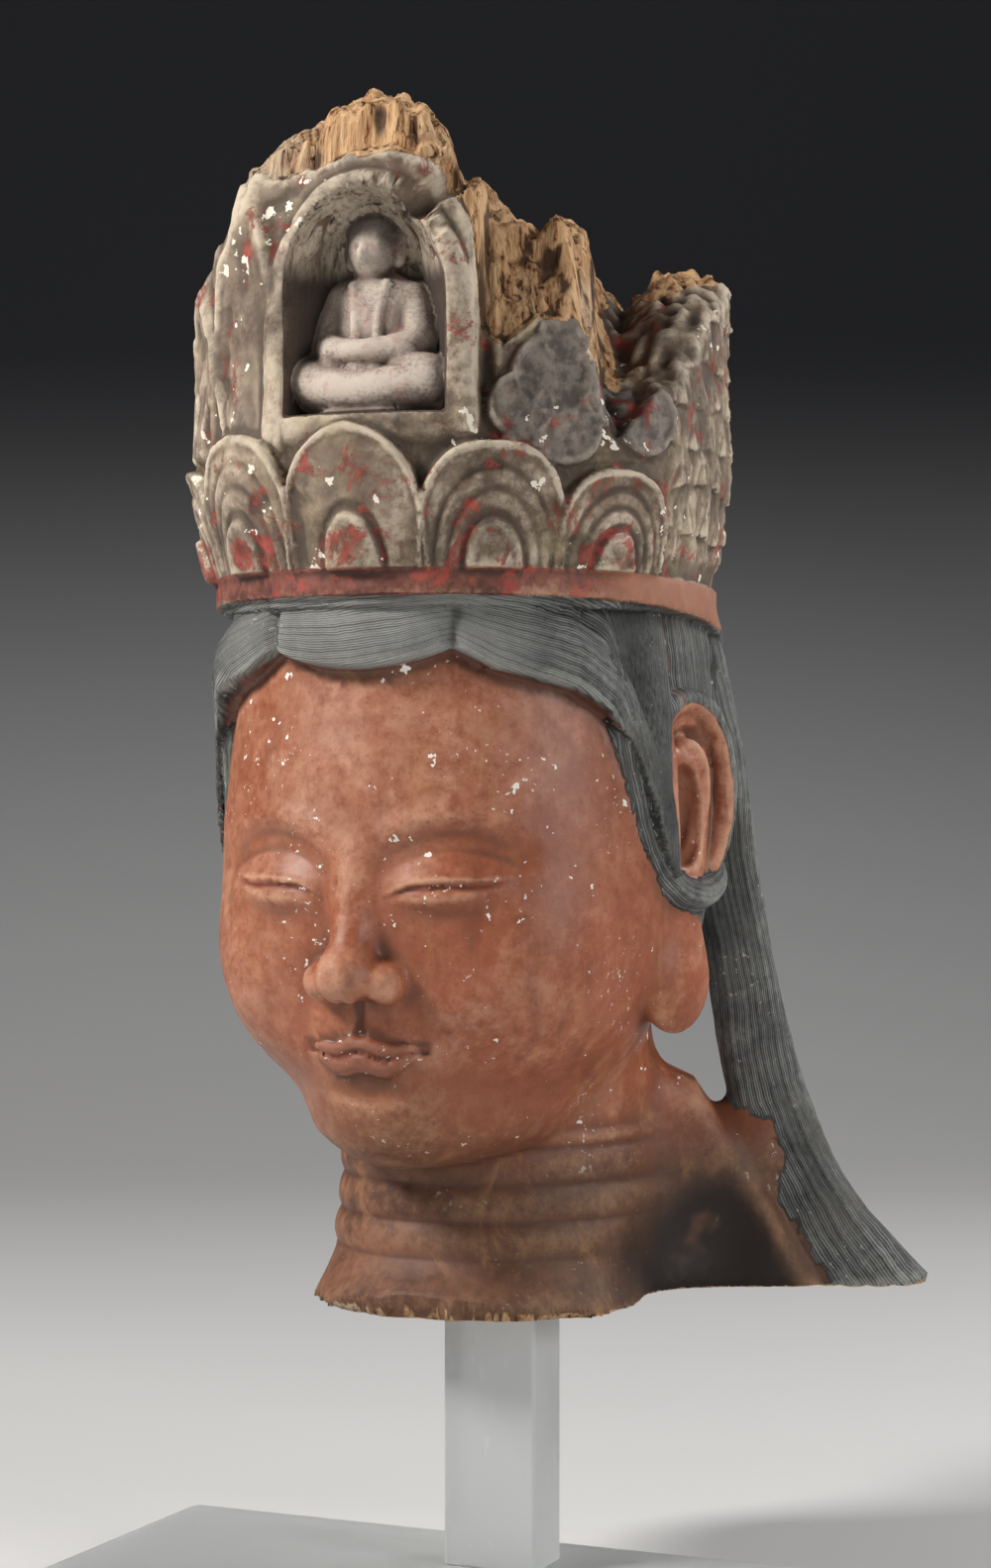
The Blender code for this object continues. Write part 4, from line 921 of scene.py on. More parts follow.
def write_colours(mesh, name, columns):
    """Keeps up to three numbers a point as one colour attribute."""
    data = np.ones((len(mesh.vertices), 4), np.float32)
    for index, column in enumerate(columns):
        data[:, index] = column
    attribute = mesh.color_attributes.new(name, "FLOAT_COLOR", "POINT")
    attribute.data.foreach_set("color", data.ravel())


def write_zones(mesh):
    """Finds what each point of the head is, and keeps it for the material."""
    world = mesh_points(mesh)
    points = world - HEAD_AXIS
    x, y, z = points.T
    hair, strand = hair_strands(points)
    crown, band, raw, figure, niche = crown_zones(points)
    angle = np.degrees(np.arctan2(x, -y))
    bosses = np.zeros(len(z))
    for middle in BOSS_ANGLES:
        size = np.hypot((angle - middle) * ARC / BOSS_HALF_WIDTH, (z - BAND_TOP_Z) / BOSS_HEIGHT)
        bosses = np.maximum(bosses, ramp(1 - size, -0.05, 0.15))
    clouds = ramp(upper_relief(angle - ORNAMENT_TURN, z), 0.0012, 0.0026) * ramp(angle, 27, 31)
    # Painted shadow, partly the dark paint of the hollow: very dark over the broken shoulder's hollow,
    # under its ridge
    across = points[:, :2] @ FACING
    ridge = np.interp(across, *np.transpose(SHOULDER_RIDGE)) + 0.004 * noise(points * 60.0, 81.0)
    shadow_spot = np.hypot((across - SHADOW_ACROSS) / SHADOW_HALF_WIDTH, (z - SHADOW_Z) / SHADOW_HALF_HEIGHT)
    shadow_spot += 0.10 * noise(points * 55.0, 85.0)
    shadow = ramp(1 - shadow_spot, -0.10, 0.30) * ramp(ridge - z, 0.008, 0.026) * (1 - hair)
    lips = np.clip(mouth_relief(np.abs(x), z) / 0.0024, 0.0, 1.0) * ramp(-y, 0.085, 0.095)
    lips *= ramp(0.012 - np.abs(z - NOSE_Z + 0.0235), 0, 0.002)
    fine = fine_relief(points, mesh_normals(mesh))
    hollow = 0.5 - bend(world, 0.0030) / 0.0022 - fine / 0.0030
    broad = 0.5 - bend(world, 0.0090) / 0.0080
    cap = ramp(form_distance(FIGURE_FORMS[FIGURE_CAP:FIGURE_CAP + 1], points), 0.0014, 0.0002)
    lips = np.maximum(lips, cap * ramp(z - NICHE_Z, 0.0330, 0.0360))
    # Painted shadow: a dark line along each upper lid's edge, where the closed eye's slit is, joined to the
    # lips' mask
    aside = np.abs(x)
    lid_edge = BROW_Z - EYE_DROP + np.interp(aside, *np.transpose(UPPER_LID))
    slit = bump(z - lid_edge + 0.0016, 0.0024) * ramp(aside, 0.019, 0.026) * ramp(0.066 - aside, 0, 0.008)
    lips = np.maximum(lips, slit * ramp(-y, 0.060, 0.070))
    end_grain = ramp(mesh_normals(mesh)[:, 2], 0.35, 0.75) * raw
    underside = ramp(-mesh_normals(mesh)[:, 2], 0.5, 0.8) * ramp(CHEST_Z + 0.006 - z, 0, 0.003)
    write_colours(mesh, "zones", (hair, crown, raw))
    write_colours(mesh, "places", (band, figure, niche))
    # The third number of paint is the shoulder's painted shadow
    write_colours(mesh, "paint", (bosses * crown, clouds * crown, shadow))
    end_grain = np.maximum(end_grain, underside)
    write_colours(mesh, "shape", (np.clip(hollow, 0, 1), np.clip(broad, 0, 1), end_grain))
    # Its second number holds the lips, the small figure's cap and the painted shadow of the eye slits
    write_colours(mesh, "strands", (strand, lips, underside))


class Nodes:
    """Adds and links shader nodes by short calls, from numbers, colours or other outputs."""

    def __init__(self, tree):
        self.tree = tree
        self.tree.nodes.clear()

    def add(self, kind, settings=(), inputs=()):
        node = self.tree.nodes.new(kind)
        for name, value in dict(settings).items():
            setattr(node, name, value)
        for name, value in dict(inputs).items():
            self.put(node.inputs[name], value)
        return node

    def put(self, socket, value):
        if isinstance(value, bpy.types.NodeSocket):
            self.tree.links.new(value, socket)
        elif socket.type == "RGBA" and len(value) == 3:
            socket.default_value = (*value, 1.0)
        else:
            socket.default_value = value

    def math(self, operation, a, b=0.0):
        node = self.add("ShaderNodeMath", {"operation": operation})
        self.put(node.inputs[0], a)
        self.put(node.inputs[1], b)
        return node.outputs[0]

    def mix(self, share, a, b, blend="MIX"):
        node = self.add("ShaderNodeMix", {"data_type": "RGBA", "blend_type": blend})
        self.put(node.inputs[0], share)
        self.put(node.inputs[6], a)
        self.put(node.inputs[7], b)
        return node.outputs[2]

    def coat(self, under, mask, share, over):
        """One colour over another, where the mask is and by a share of it."""
        return self.mix(self.math("MULTIPLY", mask, share), under, over)

    def blend(self, share, a, b):
        node = self.add("ShaderNodeMix", {"data_type": "FLOAT"})
        self.put(node.inputs[0], share)
        self.put(node.inputs[2], a)
        self.put(node.inputs[3], b)
        return node.outputs[0]

    def span(self, value, low, high, to_low=0.0, to_high=1.0):
        inputs = {"Value": value, "From Min": low, "From Max": high, "To Min": to_low, "To Max": to_high}
        node = self.add("ShaderNodeMapRange", {"interpolation_type": "SMOOTHSTEP"}, inputs)
        return node.outputs["Result"]

    def noise(self, vector, scale, detail=3.0, roughness=0.55, stretch=None, twist=0.0):
        if stretch is not None:
            vector = self.add("ShaderNodeMapping", {}, {"Vector": vector, "Scale": stretch}).outputs[0]
        inputs = {"Vector": vector, "Scale": scale, "Detail": detail, "Roughness": roughness,
                  "Distortion": twist}
        return self.add("ShaderNodeTexNoise", {}, inputs).outputs["Fac"]

    def parts(self, name):
        """The three numbers of a colour attribute."""
        attribute = self.add("ShaderNodeAttribute", {"attribute_name": name})
        node = self.add("ShaderNodeSeparateColor", {}, {"Color": attribute.outputs["Color"]})
        return node.outputs[0], node.outputs[1], node.outputs[2]


def new_group(name, inputs, outputs):
    """A shader node group with named sockets: its tree, its nodes and the node of its inputs."""
    tree = bpy.data.node_groups.new(name, "ShaderNodeTree")
    for label, kind, value in inputs:
        socket = tree.interface.new_socket(label, in_out="INPUT", socket_type=kind)
        if value is not None:
            socket.default_value = value
    for label, kind in outputs:
        tree.interface.new_socket(label, in_out="OUTPUT", socket_type=kind)
    nodes = Nodes(tree)
    return nodes, nodes.add("NodeGroupInput").outputs, nodes.add("NodeGroupOutput").inputs


def place_group(nodes, name, inputs):
    """Puts a group into a material with its own values and gives its outputs."""
    node = nodes.add("ShaderNodeGroup", {"node_tree": bpy.data.node_groups[name]}, {})
    for label, value in inputs.items():
        nodes.put(node.inputs[label], value)
    return node.outputs


def build_worn_paint():
    """Paint in two shades, lighter on high places where it is worn and where a highlight is painted, dirty
    in hollows and flecked with lost chips.
    """
    colour, number, vector = "NodeSocketColor", "NodeSocketFloat", "NodeSocketVector"
    nodes, given, out = new_group("Worn paint and highlight", (
        ("Place", vector, None), ("Hollow", number, 0.5), ("Broad", number, 0.5),
        ("Deep", colour, (0.2, 0.06, 0.03, 1)), ("Mid", colour, (0.35, 0.12, 0.06, 1)),
        ("Rubbed", colour, (0.5, 0.28, 0.17, 1)), ("Dirt", colour, (0.05, 0.025, 0.015, 1)),
        ("Scale", number, 30.0), ("Rubbing", number, 0.5), ("Grime", number, 0.5)),
        (("Colour", colour), ("Height", number), ("Rubbed Share", number)))
    place = given["Place"]
    cloudy = nodes.noise(place, given["Scale"], 9.0, 0.70, twist=0.3)
    small = nodes.noise(place, nodes.math("MULTIPLY", given["Scale"], 8.0), 5.0, 0.72)
    shade = nodes.math("ADD", nodes.math("MULTIPLY", cloudy, 0.55), nodes.math("MULTIPLY", small, 0.45))
    base = nodes.mix(nodes.span(shade, 0.34, 0.62), given["Deep"], given["Mid"])
    height_share = nodes.math("ADD", nodes.math("MULTIPLY", given["Hollow"], 0.45),
                              nodes.math("MULTIPLY", given["Broad"], 0.50))
    rub_and_highlight = nodes.math("SUBTRACT", nodes.math("ADD", 0.5, nodes.math("MULTIPLY", shade, 1.1)), height_share)
    rub_and_highlight = nodes.math("ADD", rub_and_highlight, nodes.math("SUBTRACT", given["Rubbing"], 0.5))
    # Lighter on the high places: wear of the paint, and a painted highlight
    worn_and_highlight = nodes.span(rub_and_highlight, 0.62, 0.98)
    base = nodes.coat(base, worn_and_highlight, 0.85, given["Rubbed"])
    low = nodes.math("ADD", nodes.math("MULTIPLY", given["Hollow"], 0.55),
                     nodes.math("MULTIPLY", given["Broad"], 0.45))
    grime = nodes.math("ADD", low, nodes.math("MULTIPLY", nodes.math("SUBTRACT", shade, 0.5), 0.55))
    dirty = nodes.span(nodes.math("ADD", grime, nodes.math("SUBTRACT", given["Grime"], 0.5)), 0.53, 0.86)
    base = nodes.coat(base, dirty, 0.8, given["Dirt"])
    nodes.put(out["Colour"], base)
    height = nodes.math("ADD", nodes.math("MULTIPLY", small, 0.6), nodes.math("MULTIPLY", worn_and_highlight, -0.25))
    nodes.put(out["Height"], height)
    nodes.put(out["Rubbed Share"], worn_and_highlight)


def build_flecks():
    """Small irregular spots where the paint is lost, gathered in loose clusters."""
    number, vector = "NodeSocketFloat", "NodeSocketVector"
    nodes, given, out = new_group("Lost flecks", (
        ("Place", vector, None), ("Scale", number, 120.0), ("Amount", number, 0.5),
        ("Cluster", number, 14.0)),
        (("Mask", number),))
    spots = nodes.noise(given["Place"], given["Scale"], 3.0, 0.6)
    where = nodes.noise(given["Place"], given["Cluster"], 2.0, 0.5)
    gate = nodes.math("ADD", spots, nodes.math("MULTIPLY", nodes.math("SUBTRACT", where, 0.5), 0.35))
    edge = nodes.math("SUBTRACT", 0.84, nodes.math("MULTIPLY", given["Amount"], 0.2))
    nodes.put(out["Mask"], nodes.span(nodes.math("SUBTRACT", gate, edge), 0.0, 0.012))


def build_wood_fibre():
    """Long torn fibres and dark cracks of bare wood, running up the piece."""
    colour, number, vector = "NodeSocketColor", "NodeSocketFloat", "NodeSocketVector"
    nodes, given, out = new_group("Wood fibre", (
        ("Place", vector, None), ("Hollow", number, 0.5), ("End", number, 0.0),
        ("Pale", colour, (0.6, 0.45, 0.3, 1)), ("Gold", colour, (0.42, 0.22, 0.1, 1)),
        ("Dark", colour, (0.06, 0.03, 0.015, 1)), ("Grey", number, 0.3)),
        (("Colour", colour), ("Height", number)))
    place = given["Place"]
    upright = nodes.add("ShaderNodeMapping", {}, {"Vector": place, "Scale": (1.0, 1.0, 0.055)}).outputs[0]
    lines = nodes.noise(upright, 420.0, 5.0, 0.68, twist=0.4)
    broad = nodes.noise(upright, 90.0, 4.0, 0.6, twist=0.8)
    crumbs = nodes.noise(place, 330.0, 4.0, 0.7)
    mixed = nodes.blend(given["End"], lines, crumbs)
    tone = nodes.math("ADD", nodes.math("MULTIPLY", mixed, 0.6), nodes.math("MULTIPLY", broad, 0.4))
    base = nodes.mix(nodes.span(tone, 0.40, 0.60), given["Gold"], given["Pale"])
    weather = nodes.noise(place, 22.0, 3.0, 0.5)
    greyed = nodes.span(nodes.math("ADD", weather, nodes.math("SUBTRACT", given["Grey"], 0.5)), 0.35, 0.65)
    grey = nodes.mix(nodes.span(tone, 0.38, 0.6), (0.17, 0.13, 0.095), (0.46, 0.38, 0.29))
    base = nodes.coat(base, greyed, 0.75, grey)
    crack = nodes.span(tone, 0.455, 0.385)
    deep = nodes.span(given["Hollow"], 0.62, 0.95)
    dark = nodes.math("MAXIMUM", nodes.math("MULTIPLY", crack, 0.85), nodes.math("MULTIPLY", deep, 0.9))
    nodes.put(out["Colour"], nodes.mix(dark, base, given["Dark"]))
    nodes.put(out["Height"], nodes.math("SUBTRACT", mixed, nodes.math("MULTIPLY", crack, 0.5)))


def build_head_material(looks):
    """One shader for the whole carving, mixed by the zones kept on its points."""
    material = bpy.data.materials.new("worn_painted_wood")
    material.use_nodes = True
    nodes = Nodes(material.node_tree)
    place = nodes.add("ShaderNodeTexCoord").outputs["Object"]
    hair, crown, raw = nodes.parts("zones")
    band, figure, niche = nodes.parts("places")
    # shadow is the shoulder's painted shadow, partly its dark paint
    bosses, clouds, shadow = nodes.parts("paint")
    hollow, broad, end = nodes.parts("shape")
    # lips also holds the small figure's cap and the painted shadow along the eye slits
    strand, lips, underside = nodes.parts("strands")
    separate = nodes.add("ShaderNodeSeparateXYZ", {}, {"Vector": place})
    east, depth, height = separate.outputs
    frays = nodes.noise(place, 160.0, 4.0, 0.6)
    drift = nodes.noise(place, 26.0, 3.0, 0.5)

    def torn(mask, reach=0.5):
        """A zone's edge, broken up by small noise."""
        loose = nodes.math("ADD", mask, nodes.math("MULTIPLY", nodes.math("SUBTRACT", frays, 0.5), reach))
        return nodes.span(loose, 0.35, 0.65)

    def paint(**values):
        given = {"Place": place, "Hollow": hollow, "Broad": broad}
        given.update(values)
        return place_group(nodes, "Worn paint and highlight", given)

    up = nodes.span(height, 0.27, 0.43)
    low = nodes.span(height, 0.245, 0.195)
    skin_mid = nodes.mix(up, looks.skin_colour, looks.brow_colour)
    skin_mid = nodes.mix(low, skin_mid, looks.neck_colour)
    # Painted light: the face's left side, toward the key light, is made lighter and pinker with the brow
    # colour
    painted_light_side = nodes.span(east, 0.035, -0.060)
    skin_mid = nodes.coat(skin_mid, painted_light_side, 0.45, looks.brow_colour)
    skin_deep = nodes.mix(low, (0.215, 0.058, 0.024), (0.070, 0.030, 0.016))
    patch = nodes.noise(place, 13.0, 9.0, 0.66, twist=0.3)
    skin_mid = nodes.coat(skin_mid, nodes.span(patch, 0.50, 0.64), 0.55,
                          nodes.mix(low, (0.47, 0.245, 0.160), (0.20, 0.108, 0.058)))
    skin_mid = nodes.coat(skin_mid, nodes.span(patch, 0.49, 0.36), 0.60, skin_deep)
    chin = nodes.math("MULTIPLY", nodes.span(height, 0.268, 0.235), nodes.span(depth, 0.000, -0.030))
    skin_mid = nodes.coat(skin_mid, chin, 0.60, (0.165, 0.080, 0.036))
    # The skin's pale pinkish tan on the nose, brow, lips and chin is partly worn lacquer and partly a
    # painted highlight
    skin = paint(Deep=skin_deep, Mid=skin_mid,
                 Rubbed=nodes.mix(low, (0.50, 0.265, 0.165), (0.25, 0.145, 0.080)),
                 Dirt=(0.070, 0.026, 0.014),
                 Scale=20.0, Rubbing=0.54, Grime=0.56)
    streaks = nodes.noise(place, 60.0, 4.0, 0.6, (1.0, 1.0, 0.22))
    colour = nodes.coat(skin["Colour"], nodes.span(streaks, 0.54, 0.74), 0.42, (0.120, 0.036, 0.018))
    ochre = nodes.noise(place, 42.0, 8.0, 0.7, (1.0, 1.0, 0.6), 0.8)
    colour = nodes.coat(colour, nodes.span(ochre, 0.54, 0.70), 0.30, (0.42, 0.215, 0.090))
    pores = nodes.noise(place, 480.0, 4.0, 0.7)
    colour = nodes.coat(colour, nodes.span(pores, 0.56, 0.70), 0.45, (0.085, 0.032, 0.018))
    # Dark red lips, and painted shadow along the eye slits, from the same mask
    colour = nodes.coat(colour, lips, 0.70, (0.150, 0.036, 0.022))
    flecks = place_group(nodes, "Lost flecks", {"Place": place, "Scale": 140.0, "Amount": looks.flecks,
                                                "Cluster": 15.0})
    specks = place_group(nodes, "Lost flecks", {"Place": place, "Scale": 330.0, "Amount": looks.flecks,
                                                "Cluster": 30.0})
    spots = nodes.math("MAXIMUM", flecks["Mask"], nodes.math("MULTIPLY", specks["Mask"], 0.8))
    not_low = nodes.math("SUBTRACT", 1.0, nodes.math("MULTIPLY", low, 0.8))
    colour = nodes.mix(nodes.math("MULTIPLY", spots, not_low), colour, (0.74, 0.70, 0.64))
    skin_rough = nodes.math("ADD", 0.46, nodes.math("MULTIPLY", skin["Rubbed Share"], 0.24))
    skin_rough = nodes.math("ADD", skin_rough, nodes.math("MULTIPLY", low, 0.14))
    skin_height = skin["Height"]
    # Painted shadow, partly dark paint: very dark over the broken shoulder's hollow
    painted_shadow = nodes.math("MULTIPLY", shadow, nodes.span(drift, 0.30, 0.45))
    colour = nodes.mix(painted_shadow, colour, (0.012, 0.006, 0.004))

    wave = nodes.math("MULTIPLY", nodes.noise(place, 70.0, 3.0, 0.5), 0.7)
    phase = nodes.math("MULTIPLY", nodes.math("ADD", strand, wave), pi)
    fine_lines = nodes.math("ABSOLUTE", nodes.math("SINE", phase))
    finer = nodes.math("ABSOLUTE", nodes.math("SINE", nodes.math("MULTIPLY", phase, 3.3)))
    ridges = nodes.math("ADD", nodes.math("MULTIPLY", fine_lines, 0.50),
                        nodes.math("MULTIPLY", finer, 0.50))
    # Paler strand tops: partly dust and partly a painted highlight on the ridges
    dust = nodes.noise(place, 48.0, 5.0, 0.65)
    dust_and_highlight = nodes.math("ADD", nodes.math("MULTIPLY", ridges, 0.50), nodes.math("MULTIPLY", dust, 0.75))
    hair_paint = paint(Deep=(0.026, 0.028, 0.029), Mid=looks.hair_colour, Rubbed=(0.25, 0.255, 0.235),
                       Dirt=(0.010, 0.010, 0.010), Scale=30.0, Rubbing=0.44, Grime=0.52)
    # Painted light: the hair's front, which faces the key light, is made paler
    front = nodes.math("MULTIPLY", nodes.span(height, 0.400, 0.430), nodes.span(depth, -0.010, -0.045))
    hair_colour = nodes.coat(hair_paint["Colour"], front, 0.50, (0.34, 0.345, 0.33))
    hair_colour = nodes.coat(hair_colour, nodes.span(dust_and_highlight, 0.62, 1.0), 0.48, (0.33, 0.335, 0.31))
    # Painted shade: very dark in the grooves between strands
    hair_colour = nodes.coat(hair_colour, nodes.span(ridges, 0.36, 0.04), 0.55, (0.011, 0.011, 0.011))
    dull = nodes.noise(place, 22.0, 8.0, 0.7)
    hair_colour = nodes.coat(hair_colour, nodes.span(dull, 0.50, 0.66), 0.35, (0.105, 0.092, 0.070))
    hair_colour = nodes.coat(hair_colour, specks["Mask"], 0.5, (0.62, 0.60, 0.56))
    hair_edge_mask = torn(hair, 0.35)
    colour = nodes.mix(hair_edge_mask, colour, hair_colour)

    # Painted light and shade: the crown's and band's left side, toward the key light, gets lighter colours
    # and the right side darker ones
    painted_shade_east = nodes.span(east, -0.085, 0.020)
    gesso = paint(Deep=nodes.mix(painted_shade_east, (0.190, 0.135, 0.098), (0.098, 0.064, 0.042)),
                  Mid=nodes.mix(painted_shade_east, (0.370, 0.290, 0.215), looks.gesso_colour),
                  Rubbed=(0.56, 0.475, 0.365), Dirt=(0.034, 0.024, 0.017), Scale=26.0, Rubbing=0.56,
                  Grime=0.62)
    gesso_colour = gesso["Colour"]
    yellow = nodes.noise(place, 38.0, 9.0, 0.72, twist=0.5)
    gesso_colour = nodes.coat(gesso_colour, nodes.span(yellow, 0.50, 0.68), 0.50, (0.33, 0.275, 0.155))
    soot = nodes.noise(place, 24.0, 9.0, 0.74, twist=0.5)
    gesso_colour = nodes.coat(gesso_colour, nodes.span(soot, 0.46, 0.64), 0.70, (0.062, 0.044, 0.032))
    gesso_colour = nodes.coat(gesso_colour, clouds, 0.72,
                              nodes.mix(nodes.span(frays, 0.4, 0.6), (0.060, 0.052, 0.048),
                                        (0.175, 0.150, 0.135)))
    remains = nodes.noise(place, 47.0, 9.0, 0.74, twist=0.6)
    red_gate = nodes.math("ADD", remains, nodes.math("MULTIPLY", bosses, 0.10))
    red_gate = nodes.math("ADD", red_gate, nodes.math("MULTIPLY", nodes.math("SUBTRACT", hollow, 0.5),
                                                      0.08))
    red = nodes.span(red_gate, 0.550, 0.635)
    gesso_colour = nodes.coat(gesso_colour, red, 0.85, nodes.mix(nodes.span(frays, 0.40, 0.62),
                                                                 (0.16, 0.030, 0.022), looks.red_colour))
    pale = place_group(nodes, "Lost flecks", {"Place": place, "Scale": 120.0, "Amount": 0.75,
                                              "Cluster": 22.0})
    gesso_colour = nodes.mix(pale["Mask"], gesso_colour, (0.74, 0.68, 0.58))
    colour = nodes.mix(torn(crown, 0.2), colour, gesso_colour)

    band_paint = paint(Deep=(0.075, 0.030, 0.022), Mid=nodes.mix(painted_shade_east, (0.24, 0.075, 0.055),
                                                                 (0.22, 0.072, 0.048)),
                       Rubbed=(0.42, 0.25, 0.16), Dirt=(0.030, 0.016, 0.012), Scale=40.0, Rubbing=0.48,
                       Grime=0.5)
    vivid = nodes.coat(band_paint["Colour"], nodes.span(remains, 0.53, 0.60), 0.8, looks.red_colour)
    orange = nodes.span(east, 0.070, 0.088)
    vivid = nodes.coat(vivid, orange, 0.8, (0.30, 0.135, 0.080))
    colour = nodes.mix(torn(band, 0.25), colour, vivid)

    dark_wood = paint(Deep=(0.026, 0.016, 0.011), Mid=(0.062, 0.040, 0.028), Rubbed=(0.16, 0.11, 0.08),
                      Dirt=(0.010, 0.007, 0.005), Scale=50.0, Rubbing=0.42, Grime=0.55)
    bare = place_group(nodes, "Wood fibre", {"Place": place, "Hollow": hollow, "End": 0.0, "Grey": 0.85,
                                             "Pale": (0.34, 0.28, 0.22), "Gold": (0.15, 0.105, 0.07),
                                             "Dark": (0.020, 0.014, 0.010)})
    niche_colour = nodes.mix(nodes.span(height, 0.588, 0.602), dark_wood["Colour"], bare["Colour"])
    colour = nodes.mix(torn(niche, 0.3), colour, niche_colour)

    figure_paint = paint(Deep=(0.160, 0.118, 0.095), Mid=looks.figure_colour, Rubbed=(0.52, 0.445, 0.375),
                         Dirt=(0.040, 0.027, 0.021), Scale=80.0, Rubbing=0.62, Grime=0.52)
    rose = nodes.noise(place, 105.0, 4.0, 0.6)
    figure_colour = nodes.coat(figure_paint["Colour"], nodes.span(rose, 0.56, 0.66), 0.40,
                               (0.40, 0.20, 0.17))
    figure_colour = nodes.coat(figure_colour, lips, 0.75, (0.085, 0.070, 0.062))
    colour = nodes.mix(torn(figure, 0.2), colour, figure_colour)

    grey_side = nodes.span(east, 0.010, -0.090)
    fibre = place_group(nodes, "Wood fibre", {"Place": place, "Hollow": hollow, "End": end,
                                              "Grey": nodes.math("ADD", 0.30,
                                                                 nodes.math("MULTIPLY", grey_side, 0.42)),
                                              "Pale": looks.wood_colour, "Gold": (0.30, 0.135, 0.050),
                                              "Dark": (0.038, 0.017, 0.009)})
    raw_mask = nodes.math("MAXIMUM", torn(raw, 0.4), torn(underside, 0.3))
    colour = nodes.mix(raw_mask, colour, fibre["Colour"])

    rough = nodes.blend(hair_edge_mask, skin_rough, 0.62)
    rough = nodes.blend(torn(crown, 0.2), rough, 0.78)
    rough = nodes.blend(torn(band, 0.25), rough, 0.66)
    rough = nodes.blend(raw_mask, rough, 0.88)
    relief = nodes.blend(hair_edge_mask, nodes.math("MULTIPLY", skin_height, 0.30),
                         nodes.math("ADD", nodes.math("MULTIPLY", ridges, 0.85),
                                    nodes.math("MULTIPLY", hair_paint["Height"], 0.3)))
    relief = nodes.blend(torn(crown, 0.2), relief, nodes.math("ADD",
                                                              nodes.math("MULTIPLY", gesso["Height"],
                                                                         0.7),
                                                             nodes.math("MULTIPLY", red, 0.12)))
    relief = nodes.blend(raw_mask, relief, nodes.math("MULTIPLY", fibre["Height"], 1.7))
    bump = nodes.add("ShaderNodeBump", {}, {"Strength": 0.85, "Distance": 0.0013, "Height": relief})
    shader = nodes.add("ShaderNodeBsdfPrincipled", {}, {
        "Base Color": colour, "Roughness": rough, "Metallic": 0.0, "IOR": 1.45,
        "Normal": bump.outputs["Normal"],
        "Specular IOR Level": 0.42})
    nodes.add("ShaderNodeOutputMaterial", {}, {"Surface": shader.outputs[0]})
    return material


def build_acrylic_material(name, looks, tone):
    """Frosted acrylic: clouded, faintly scuffed, and toned by painted light, a little brighter where it is
    thick.
    """
    material = bpy.data.materials.new(name)
    material.use_nodes = True
    nodes = Nodes(material.node_tree)
    place = nodes.add("ShaderNodeTexCoord").outputs["Object"]
    cloud = nodes.noise(place, 14.0, 3.0, 0.5)
    grit = nodes.noise(place, 900.0, 2.0, 0.6)
    scuffs = nodes.noise(place, 120.0, 4.0, 0.6, (1.0, 1.0, 0.3))
    base = nodes.mix(cloud, [shade * tone * 0.94 for shade in looks.acrylic_colour],
                     [shade * tone for shade in looks.acrylic_colour])
    base = nodes.coat(base, nodes.span(scuffs, 0.62, 0.74), 0.35, (0.90, 0.91, 0.91))
    rough = nodes.math("ADD", looks.frosting - 0.05, nodes.math("MULTIPLY", cloud, 0.12))
    bump = nodes.add("ShaderNodeBump", {}, {"Strength": 0.25, "Distance": 0.0002, "Height": grit})
    shader = nodes.add("ShaderNodeBsdfPrincipled", {}, {
        "Base Color": base, "Roughness": rough, "Metallic": 0.0, "IOR": 1.49,
        "Normal": bump.outputs["Normal"],
        "Transmission Weight": looks.clearness})
    nodes.add("ShaderNodeOutputMaterial", {}, {"Surface": shader.outputs[0]})
    return material


def deselect_all():
    bpy.ops.object.select_all(action="DESELECT")


def make_active(piece):
    deselect_all()
    piece.select_set(True)
    bpy.context.view_layer.objects.active = piece


def apply_modifier(piece, kind, settings):
    modifier = piece.modifiers.new(kind.title(), kind)
    for name, value in settings.items():
        setattr(modifier, name, value)
    make_active(piece)
    bpy.ops.object.modifier_apply(modifier=modifier.name)


def copy_of_node(name, piece_name):
    """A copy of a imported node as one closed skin."""
    piece = bpy.data.objects.new(piece_name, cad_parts[name].data.copy())
    bpy.context.scene.collection.objects.link(piece)
    make_active(piece)
    bpy.ops.object.mode_set(mode="EDIT")
    bpy.ops.mesh.select_all(action="SELECT")
    bpy.ops.mesh.remove_doubles(threshold=1e-5)
    bpy.ops.object.mode_set(mode="OBJECT")
    piece.data.materials.clear()
    return piece


def clear_niche(head):
    """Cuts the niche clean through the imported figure, so that the finer one can be set in."""
    centre = HEAD_AXIS + np.array((NICHE_SIDEWAYS, -CROWN_HALF_DEPTH, NICHE_Z + NICHE_SPRING))
    tall = centre[2] - NICHE_FLOOR_Z
    bpy.ops.mesh.primitive_uv_sphere_add(segments=48, ring_count=32, radius=1.0, location=centre)
    round_head = bpy.context.object
    round_head.scale = (NICHE_HALF_WIDTH, NICHE_DEPTH, NICHE_HEAD)
    bpy.ops.mesh.primitive_cylinder_add(vertices=48, radius=1.0, depth=tall,
                                        location=centre - (0, 0, tall / 2))
    upright = bpy.context.object
    upright.scale = (NICHE_HALF_WIDTH, NICHE_DEPTH, 1.0)
    for cutter in (round_head, upright):
        apply_modifier(head, "BOOLEAN", {"operation": "DIFFERENCE", "solver": "EXACT", "object": cutter})
        bpy.data.objects.remove(cutter)


def block_in_forms(head):
    """Joins rough balls and rods for the small figure, and for the root of the tress, to the head."""
    pieces = [form.block_out() for form in FIGURE_FORMS + [TRESS_ROOT] if not form.cuts]
    deselect_all()
    for piece in pieces:
        piece.select_set(True)
    head.select_set(True)
    bpy.context.view_layer.objects.active = head
    bpy.ops.object.join()


